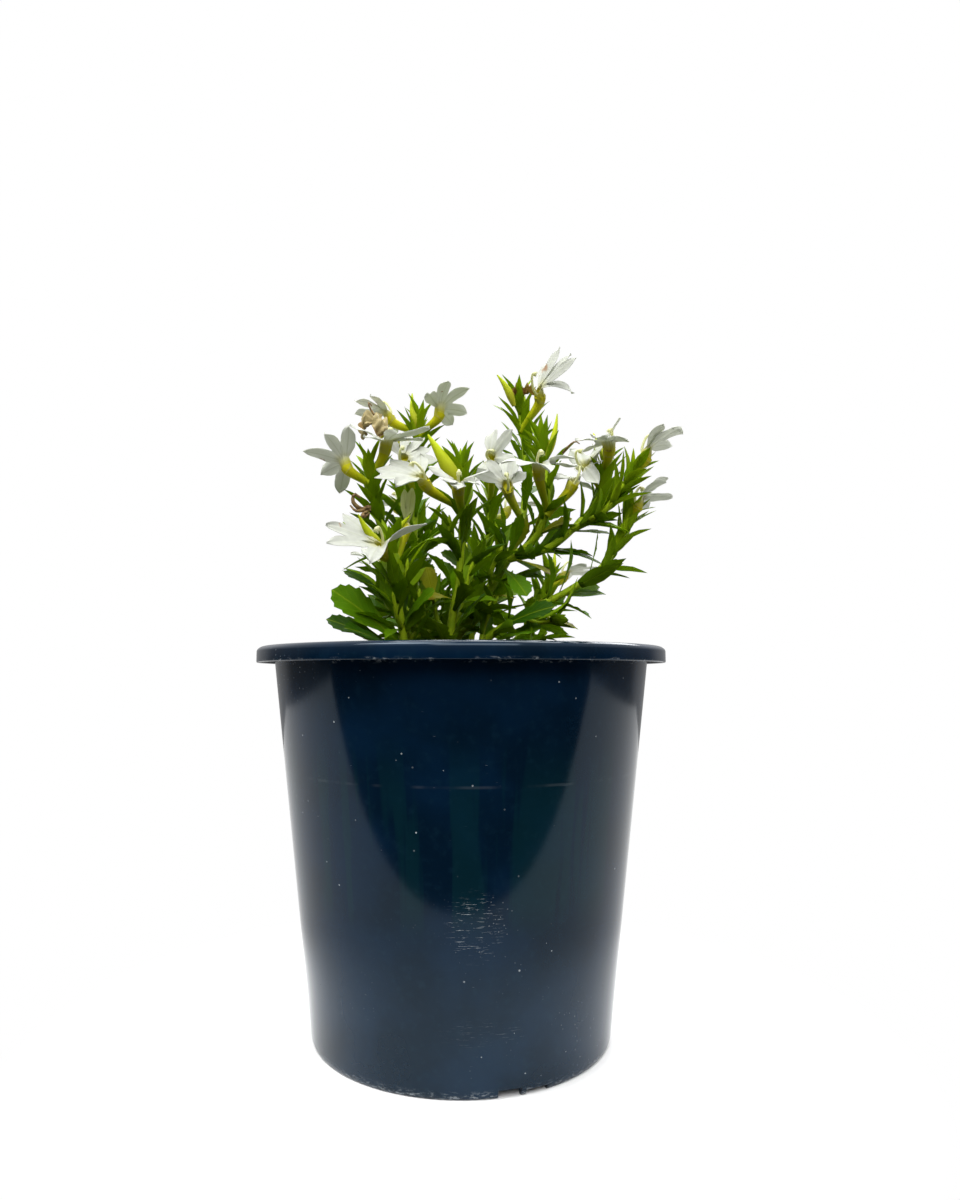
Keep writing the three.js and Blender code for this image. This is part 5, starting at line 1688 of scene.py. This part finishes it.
# Where petals stand closer than this many degrees, they are smoother and overlap more.
NARROW_STEP = 35
SPENT_WIDTH = 5.2
CRUMPLED = 1.3


def petal_breadth(share):
    shares, breadths = zip(*PETAL_SHAPE)
    return float(np.interp(share, shares, breadths))


def petal_point(shape, share, across, half_width, look):
    """A place on a petal: across runs from -1 to 1, and the wings curl and ripple."""
    middle, facing = blade_at(shape, share)
    side = np.cross(shape["along"], shape["up"])
    twist = look["twist"] * share ** 2 + look["roll"] * min(max(share - 0.15, 0) * 4, 1)
    hand = side * math.cos(twist) + facing * math.sin(twist)
    facing = facing * math.cos(twist) - side * math.sin(twist)
    ripple = 0.34 * math.sin(share * 11 + look["phase"] + 2.2 * across) * across ** 2 * share
    cup = look["cup"] * half_width * across ** 2 * share
    crease = 0.2 * math.exp(-(across / 0.16) ** 2) * (1 - share)
    wings = -0.16 * (math.exp(-((abs(across) - 0.45) / 0.14) ** 2)) * (1 - share)
    folds = 0.12 * math.sin(across * 7 + look["phase"]) * share
    over = look["over"] * across * min(max(share - 0.25, 0) * 4, 1)
    crumple = (0.8 * math.sin(9 * share + 3 * across + look["phase"])
               + 0.5 * math.sin(17 * share - 5 * across + 2 * look["phase"]))
    crumple *= look["crumple"] * min(share * 3, 1)
    relief = look["relief"] * (ripple + crease + wings + folds)
    return middle + hand * (across * half_width) + facing * (relief + cup + over + crumple)


def withered(shape, i):
    """A petal of the spent flower: shorter, rolled up and a little raised."""
    return shape | {"length": 12.5 - 2 * (i % 2), "arch": 150 + 25 * (i % 3), "width": SPENT_WIDTH,
                    "along": unit(shape["along"] + 0.15 * shape["up"]),
                    "up": unit(shape["up"] - 0.15 * shape["along"])}


def petal_look(shape, spent, narrow, numbers):
    """How one petal twists, waves, cups, rolls and crumples."""
    return {"twist": numbers.normal(0, 0.22), "phase": numbers.uniform(0, 6),
            "cup": numbers.normal(0.16, 0.2), "crumple": CRUMPLED if spent else 0, "roll": shape["roll"],
            "relief": 0.3 if narrow else 0.9, "over": 0.55 if narrow else 0.3}


def flower_sheet(flower, numbers):
    """Rows of places from the tube's mouth to the petals' points, with the faces between them."""
    ways = flower_directions(flower)
    tube = flower_tube(flower)
    seat, seat_radius = tube[-1 - TUBE_COVER]
    tube_way = unit(tube[-TUBE_COVER][0] - seat)
    ahead = square_to(ways["forward"], tube_way)
    beside = np.cross(ahead, tube_way)
    shapes = flower["shapes"]
    if flower["spent"]:
        shapes = [withered(shape, i) for i, shape in enumerate(shapes)]
    step = flower["spread"] / (len(shapes) - 1)
    opening = math.tan(math.radians(step / 2))
    looks = [petal_look(shape, flower["spent"], step < NARROW_STEP, numbers) for shape in shapes]
    widest = [BROADER * shape["width"] / 2 for shape in shapes]
    columns = [2 * j / PETAL_COLUMNS - 1 for j in range(PETAL_COLUMNS + 1)]
    places, paint, faces = [], [], []

    def corner(at, share, across, throat):
        places.append(np.asarray(at, float))
        paint.append((across, share, throat))
        return len(places) - 1

    def bridge(low, high):
        for k in range(len(low) - 1):
            faces.append((low[k], low[k + 1], high[k + 1], high[k]))

    web_shares = []
    for shape, wide in zip(shapes, widest):
        joined = min(flower["web"] * shape["length"], 0.97 * wide / opening)
        web_shares.append([(THROAT_RADIUS + (joined - THROAT_RADIUS) * row / WEB_ROWS) / shape["length"]
                           for row in range(WEB_ROWS + 1)])

    def web_row(row):
        """A row that neighbours share: the last column of a petal is the first of the next."""
        line = []
        for shape, look, shares in zip(shapes, looks, web_shares):
            share = shares[row]
            for across in columns:
                at = petal_point(shape, share, across, share * shape["length"] * opening, look)
                if across == -1 and line:
                    line[-1] = (line[-1][0] * 0.5 + at * 0.5, share, across)
                else:
                    line.append((at, share, across))
        return line

    web = [web_row(row) for row in range(WEB_ROWS + 1)]
    lines = []
    for row in range(THROAT_ROWS):
        f = row / THROAT_ROWS
        line = []
        for k, (at, share, across) in enumerate(web[0]):
            turn = (k / (len(web[0]) - 1) - 0.5) * 2 * SLIT_FROM
            rim = ahead * cosine(turn) + beside * sine(turn)
            start = seat + rim * (seat_radius + 0.02)
            bend = ways["mouth"] + rim * (THICKER * TUBE_MOUTH_RADIUS) + ways["out"] * (0.5 * THROAT_LENGTH)
            spot = (1 - f) ** 2 * start + 2 * f * (1 - f) * bend + f * f * at
            line.append(corner(spot, f * share, across, 1 - f))
        lines.append(line)
    for row in web:
        lines.append([corner(at, share, across, 0) for at, share, across in row])
    for low, high in zip(lines, lines[1:]):
        bridge(low, high)
    for i, (shape, look, wide) in enumerate(zip(shapes, looks, widest)):
        low = lines[-1][i * PETAL_COLUMNS:(i + 1) * PETAL_COLUMNS + 1]
        start = web_shares[i][-1]
        for row in range(1, PETAL_ROWS + 1):
            share = start + (1 - start) * (row / PETAL_ROWS) ** 0.9
            easing = min(row / EASED_ROWS, 1)
            reach = share * shape["length"] * opening
            free = min(wide * petal_breadth(share), reach + 0.05)
            half_width = (1 - easing) * min(reach, wide * 1.05) + easing * free
            high = [corner(petal_point(shape, share, across, half_width, look), share, across, 0)
                    for across in columns]
            bridge(low, high)
            low = high
    return np.array(places), np.array(paint), faces


def shell(places, paint, faces, half):
    """Two skins around a sheet, joined along its edges. Paint tells the upper skin from the under one."""
    normals = np.zeros_like(places)
    for face in faces:
        a, b, c, d = (places[i] for i in face)
        normals[list(face)] += np.cross(c - a, d - b)
    lengths = np.linalg.norm(normals, axis=1, keepdims=True)
    normals /= np.where(lengths < 1e-12, 1, lengths)
    count = len(places)
    thickness = half * (1 - 0.55 * np.abs(paint[:, :1]) ** 2) * (1 - 0.8 * paint[:, 2:3] ** 2)
    both = np.vstack([places + normals * thickness, places - normals * thickness])
    skins = faces + [tuple(i + count for i in face[::-1]) for face in faces]
    sides = {}
    for face in faces:
        for a, b in zip(face, face[1:] + face[:1]):
            if (b, a) in sides:
                del sides[b, a]
            else:
                sides[a, b] = True
    rim = [(b, a, a + count, b + count) for a, b in sides]
    upper, under = (np.column_stack([paint, np.full(count, side)]) for side in (1, 0))
    return both, np.vstack([upper, under]), skins + rim


print("rows of a petal:", WEB_ROWS + PETAL_ROWS)

# %% The style
STYLE_RADIUS = 0.42
STYLE_STEPS = 16
CUP_RADIUS = 0.85
HAIRS = 10


def round_limb(path, radii, sides):
    """A closed round limb through a path, for small parts."""
    places, faces = [], []
    path = np.asarray(path, float)
    reference = np.array([0.31, 0.42, 0.85])
    for i, at in enumerate(path):
        tangent = unit(path[min(i + 1, len(path) - 1)] - path[max(i - 1, 0)])
        first = square_to(reference, tangent)
        second = np.cross(tangent, first)
        for k in range(sides):
            turn = math.tau * k / sides
            places.append(at + (first * math.cos(turn) + second * math.sin(turn)) * radii[i])
    for i in range(len(path) - 1):
        for k in range(sides):
            n = (k + 1) % sides
            faces.append((i * sides + k, i * sides + n, (i + 1) * sides + n, (i + 1) * sides + k))
    faces.append(tuple(range(sides - 1, -1, -1)))
    faces.append(tuple((len(path) - 1) * sides + k for k in range(sides)))
    return places, faces


def style_parts(flower, numbers):
    """The style leans out of the slit at the back and hooks over the heart; hairs ring its cup."""
    ways = flower_directions(flower)
    start = ways["mouth"] + ways["out"] * 0.4 - ways["forward"] * 0.7
    reach = 0.42 * flower["petal"]
    sway = ways["side"] * numbers.normal(0, 0.6)
    knots = [start, start + ways["out"] * reach * 0.5 - ways["forward"] * 0.6,
             start + ways["out"] * reach * 0.95 + sway * 0.5 + ways["forward"] * 0.4,
             start + ways["out"] * reach * 1.08 + sway + ways["forward"] * 1.7,
             start + ways["out"] * reach * 0.9 + sway + ways["forward"] * 2.7]
    path, _ = smooth_path(knots, STYLE_STEPS)
    radii = [STYLE_RADIUS * (1.15 - 0.35 * i / STYLE_STEPS) for i in range(STYLE_STEPS + 1)]
    radii[-4:] = [0.5, CUP_RADIUS * 0.95, CUP_RADIUS, CUP_RADIUS * 0.7]
    parts = [round_limb(path, radii, 10)]
    tip, before = path[-1], path[-3]
    facing = unit(tip - before)
    first = square_to(ways["side"], facing)
    second = np.cross(facing, first)
    for k in range(HAIRS):
        turn = math.tau * k / HAIRS
        out = first * math.cos(turn) + second * math.sin(turn)
        foot = tip - facing * 0.3 + out * CUP_RADIUS * 0.7
        hair = foot + facing * 0.9 + out * numbers.uniform(0.15, 0.4)
        parts.append(round_limb([foot, (foot + hair) / 2 + out * 0.08, hair], [0.09, 0.07, 0.03], 4))
    return parts


print("hairs on a cup:", HAIRS)

# %% [markdown]
# ## Petals
#
# A fan-flower petal is thin and lets light through, so in shade it isn't grey but faintly green or
# beige. Its upper side is chalk white with fine lengthwise folds; the underside shows a greenish rib.
# On the white petals the underside is set paler than the upper side: painted light where it lies in
# shade. The throat is yellow-green. The spent flower has turned to paper, brown at its edges.

# %% The petal materials
# One petal of the tallest flower has a brown bruise, at this place across and up.
BRUISE = (29.7, 0, 232.2)
THROAT_COLOUR = 0xbab61a
STYLE_COLOUR = 0xdfe0ae
DRY_BROWN = 0x8a6834
BRUISED = 0x9c7040
PETAL_LETS_THROUGH = 0.32


def petal_material(name, white, under, rib, wither):
    """The finish of one kind of petal: its upper side, its underside, its ribs, how dry its edge is."""
    material, nodes = new_material(name)
    place = nodes.place()
    petal = nodes.attribute("petal", "Vector")
    across, share, upper = petal.part("X"), petal.part("Y"), nodes.attribute("upper")
    throat = nodes.attribute("throat")
    style = nodes.attribute("style")
    rib_line = 1 - abs(across).ramp(0.02, 0.16)
    fine_lines = (across * 30 + nodes.noise(place, 0.3, 2) * 4).sin()
    cloth = nodes.noise(place, 0.5, 3)
    top = nodes.mix(cloth.ramp(0.35, 0.8) * 0.3, white, under)
    below = nodes.mix(rib_line * 0.4 * (1 - share * 0.5), under, rib)
    below = nodes.mix(fine_lines.ramp(0.4, 1) * 0.12, below, rib)
    top = nodes.mix(fine_lines.ramp(0.3, 1) * 0.1 + rib_line * 0.2, top, rib)
    skin = nodes.mix(upper, below, top)
    glow = throat * 1.3 + (1 - (share + fine_lines * 0.02).ramp(0.12, 0.34)) * 0.42
    skin = nodes.mix(glow.clamped() * 0.95, skin, THROAT_COLOUR)
    rim = (abs(across) + share.ramp(0.6, 1) * 0.7 + nodes.noise(place, 0.7, 4) - 1.35).ramp(0.1, 0.6)
    skin = nodes.mix(rim * wither, skin, DRY_BROWN)
    skin = nodes.mix(style, skin, STYLE_COLOUR)
    blemish = nodes.spots(place, 0.11, 0.13) * nodes.noise(place, 0.7, 3).ramp(0.45, 0.6)
    off_bruise = (place - BRUISE) * (1, 0, 0.5)
    off_squared = off_bruise.part("X") ** 2 + off_bruise.part("Z") ** 2
    bruise = 1 - (off_squared + nodes.noise(place, 0.9, 3)).ramp(0.6, 1.6)
    skin = nodes.mix(blemish * 0.7 + bruise * 0.8, skin, BRUISED)
    relief = (fine_lines * 0.08 + rib_line * 0.25) * (1 - share.ramp(0.35, 0.75)) + cloth * 0.4
    bump = nodes.bump(relief, 0.07, 0.3)
    matte = cloth * 0.2 + 0.42
    surface = nodes.plain(Base_Color=skin, Roughness=matte, Normal=bump, Specular_IOR_Level=0.35)
    through = nodes.node("ShaderNodeBsdfTranslucent", {}, Color=skin, Normal=bump)
    finish_material(nodes, nodes.node("ShaderNodeMixShader", {}, PETAL_LETS_THROUGH, surface, through))
    return material


PETAL_FINISHES = {
    # The white petal's underside colour is paler than its upper one: painted light on the shaded undersides.
    "petals": petal_material("white petal", 0xbdbfb6, 0xe0e3d6, 0xa4ac80, 0.0),
    "young_petals": petal_material("young petal", 0xc8d08e, 0xd2d896, 0x93a044, 0.0),
    "spent_petals": petal_material("spent petal", 0xbcae7c, 0xa8965c, 0x7d6434, 0.7),
}
print("petal finishes:", list(PETAL_FINISHES))

# %% Build the flowers
FLOWER_SEED = 11
PETAL_SHARP_FROM = 60
numbers = np.random.default_rng(FLOWER_SEED)


def flower_object(flower):
    """One flower as a mesh of its own, with what its material needs to know of every corner."""
    places, painted, faces = shell(*flower_sheet(flower, numbers), PETAL_HALF_THICKNESS)
    style = np.zeros(len(places))
    if not flower["spent"] and not flower["young"]:
        for more, its_faces in style_parts(flower, numbers):
            faces = faces + [tuple(len(places) + i for i in face) for face in its_faces]
            places = np.vstack([places, more])
            painted = np.vstack([painted, np.tile([0, 0.5, 0, 1], (len(more), 1))])
            style = np.concatenate([style, np.ones(len(more))])
    finish = "spent_petals" if flower["spent"] else "young_petals" if flower["young"] else "petals"
    made = new_object(flower["name"] + "_petals", places, faces, PETAL_FINISHES[finish])
    for name, values in (("petal", painted[:, :3]), ("throat", painted[:, 2]), ("upper", painted[:, 3]),
                         ("style", style)):
        store(made, name, values)
    made.data.set_sharp_from_angle(angle=math.radians(PETAL_SHARP_FROM))
    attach(made, "root")
    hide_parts(flower["name"])
    return made


flowers = [flower_object(flower) for flower in BLOOMS]
print("faces of a flower:", len(flowers[0].data.polygons))

# %% [markdown]
# ## Potting mix
#
# Nursery mix is composted bark: dark brown crumbs of all sizes, a few fibres and white grains of perlite.
# Its surface is a low hummocky disc. Geometry Nodes scatter three drawn crumbs over it, turned and sized
# at random, so the mix is rough in outline and not only in colour.

# %% The mix
MIX_EDGE_GAP = 0.75
MIX_RINGS = 26
MIX_TURNS = 120
MIX_SHOULDER = 2


def mix_height(x, y):
    """The height of the hummocky top."""
    return (MIX_TOP + 1.1 * math.sin(0.21 * x + 0.6) * math.cos(0.17 * y - 0.4)
            + 0.35 * math.sin(0.9 * x) * math.sin(0.8 * y + 1))


slope = (WALL_TOP_RADIUS - FOOT_RADIUS) / POT_HEIGHT
mix_foot = FLOOR_TOP + FIT
edge = FOOT_RADIUS - WALL + slope * MIX_TOP - MIX_EDGE_GAP
mix_foot_radius = FOOT_RADIUS - WALL + slope * mix_foot - MIX_EDGE_GAP
mix_section = [(0, mix_foot), (mix_foot_radius, mix_foot), (edge, MIX_TOP - MIX_SHOULDER)]
mix_section += [(edge * i / MIX_RINGS, MIX_TOP) for i in range(MIX_RINGS, -1, -1)]
mix_places, mix_faces = turned(mix_section, MIX_TURNS)
mix_places = [(x, y, mix_height(x, y) if z == MIX_TOP else z) for x, y, z in mix_places]
print("the mix is", round(2 * edge), "mm across")


# %% Three crumbs
def crumb_drawing(name, stretch, seed):
    """A broken lump: a coarse ball pushed in and out at random."""
    mesh = bmesh.new()
    bmesh.ops.create_icosphere(mesh, subdivisions=1, radius=1)
    push = np.random.default_rng(seed)
    for vertex in mesh.verts:
        vertex.co = Vector([c * s for c, s in zip(vertex.co * push.uniform(0.65, 1.15), stretch)])
    data = bpy.data.meshes.new(name)
    mesh.to_mesh(data)
    mesh.free()
    return in_scene(name, data)


crumbs = [crumb_drawing("crumb", (1, 0.8, 0.6), 1), crumb_drawing("bark chip", (1.5, 0.7, 0.35), 2),
          crumb_drawing("fibre", (2.6, 0.22, 0.22), 3)]
print("faces of the crumbs:", [len(crumb.data.polygons) for crumb in crumbs])

# %% The mix's material
PERLITE_FROM = 0.955
mix_material, nodes = new_material("potting mix")
place = nodes.place()
grain = nodes.attribute("grain")
brown = nodes.mix(nodes.noise(place, 0.5, 5, 0.7), 0x15100b, 0x43321f)
brown = nodes.mix(grain.ramp(0.2, 0.9) * 0.6, brown, 0x5a4026)
brown = nodes.mix(grain.above(PERLITE_FROM), brown, 0xd8d5cc)
mix_relief = nodes.noise(place, 1.4, 5, 0.7)
mix_bump = nodes.bump(mix_relief, 0.8, 0.8)
mix_rough = mix_relief * 0.15 + 0.8
finish_material(nodes, nodes.plain(Base_Color=brown, Roughness=mix_rough, Normal=mix_bump))
print("nodes of the mix:", len(mix_material.node_tree.nodes))

# %% Scatter the crumbs
CRUMBS = 2600
CRUMB_SIZE = 1.1
CRUMB_TILT = 0.5
# Crumbs lie from this far under the top, and grow to full size this far from the edge.
CRUMBS_DOWN_TO = 1.8
SMALL_WITHIN = 5
POINT_SEED, GRAIN_SEED, TURN_SEED, SIZE_SEED = 5, 20, 30, 40


def scattering_tree():
    """Three crumbs strewn over the ground, each turned, sized and coloured by chance."""
    inputs = {"Ground": "Geometry"} | {f"Crumb {i}": "Object" for i in range(len(crumbs))}
    inputs |= {"Crumbs per square metre": "Float", "Size": "Float", "Material": "Material"}
    group = open_group("scatter crumbs", inputs, "Mix")
    tree = Tree(group)
    ground = tree.node("NodeGroupInput", {}, output="Ground")

    def by_chance(seed, kind="FLOAT", **limits):
        return tree.node("FunctionNodeRandomValue", {"data_type": kind}, Seed=seed, **limits)

    at = tree.node("GeometryNodeInputPosition", {})
    height = at.part("Z")
    from_edge = edge * MM - tree.length(at * (1, 1, 0))
    room = (from_edge / (SMALL_WITHIN * MM)).clamped()
    joined = tree.node("GeometryNodeJoinGeometry", {})
    group.links.new(ground.socket, joined.socket.node.inputs[0])
    for i in range(len(crumbs)):
        drawn_crumb = ground.output(f"Crumb {i}")
        crumb = tree.node("GeometryNodeObjectInfo", {}, Object=drawn_crumb, output="Geometry")
        points = tree.node("GeometryNodeDistributePointsOnFaces", {}, Mesh=ground,
                           Selection=height.above((MIX_TOP - CRUMBS_DOWN_TO) * MM),
                           Density=ground.output("Crumbs per square metre"), Seed=POINT_SEED + i)
        grain = by_chance(GRAIN_SEED + i)
        points = tree.node("GeometryNodeStoreNamedAttribute", {"data_type": "FLOAT", "domain": "POINT"},
                           Geometry=points, Name="grain", Value=grain)
        turn = by_chance(TURN_SEED + i, "FLOAT_VECTOR", Min=(-CRUMB_TILT, -CRUMB_TILT, 0),
                         Max=(CRUMB_TILT, CRUMB_TILT, math.tau))
        grown = (by_chance(SIZE_SEED + i) ** 3 * 1.6 + 0.4) * ground.output("Size") * room
        copies = tree.node("GeometryNodeInstanceOnPoints", {}, Points=points, Instance=crumb, Rotation=turn,
                           Scale=grown)
        group.links.new(copies.socket, joined.socket.node.inputs[0])
    return close_group(group, joined, ground.output("Material"))


mix = new_object("potting_mix_crumbs", mix_places, mix_faces, mix_material)
density = CRUMBS / len(crumbs) / (math.pi * (edge * MM) ** 2)
given = {f"Crumb {i}": crumb for i, crumb in enumerate(crumbs)}
given |= {"Crumbs per square metre": density, "Size": CRUMB_SIZE * MM, "Material": mix_material}
run_group(mix, scattering_tree(), given)
for crumb in crumbs:
    bpy.data.objects.remove(crumb)
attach(mix, "root")
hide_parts("potting_mix")
print("mix faces:", len(mix.data.polygons))
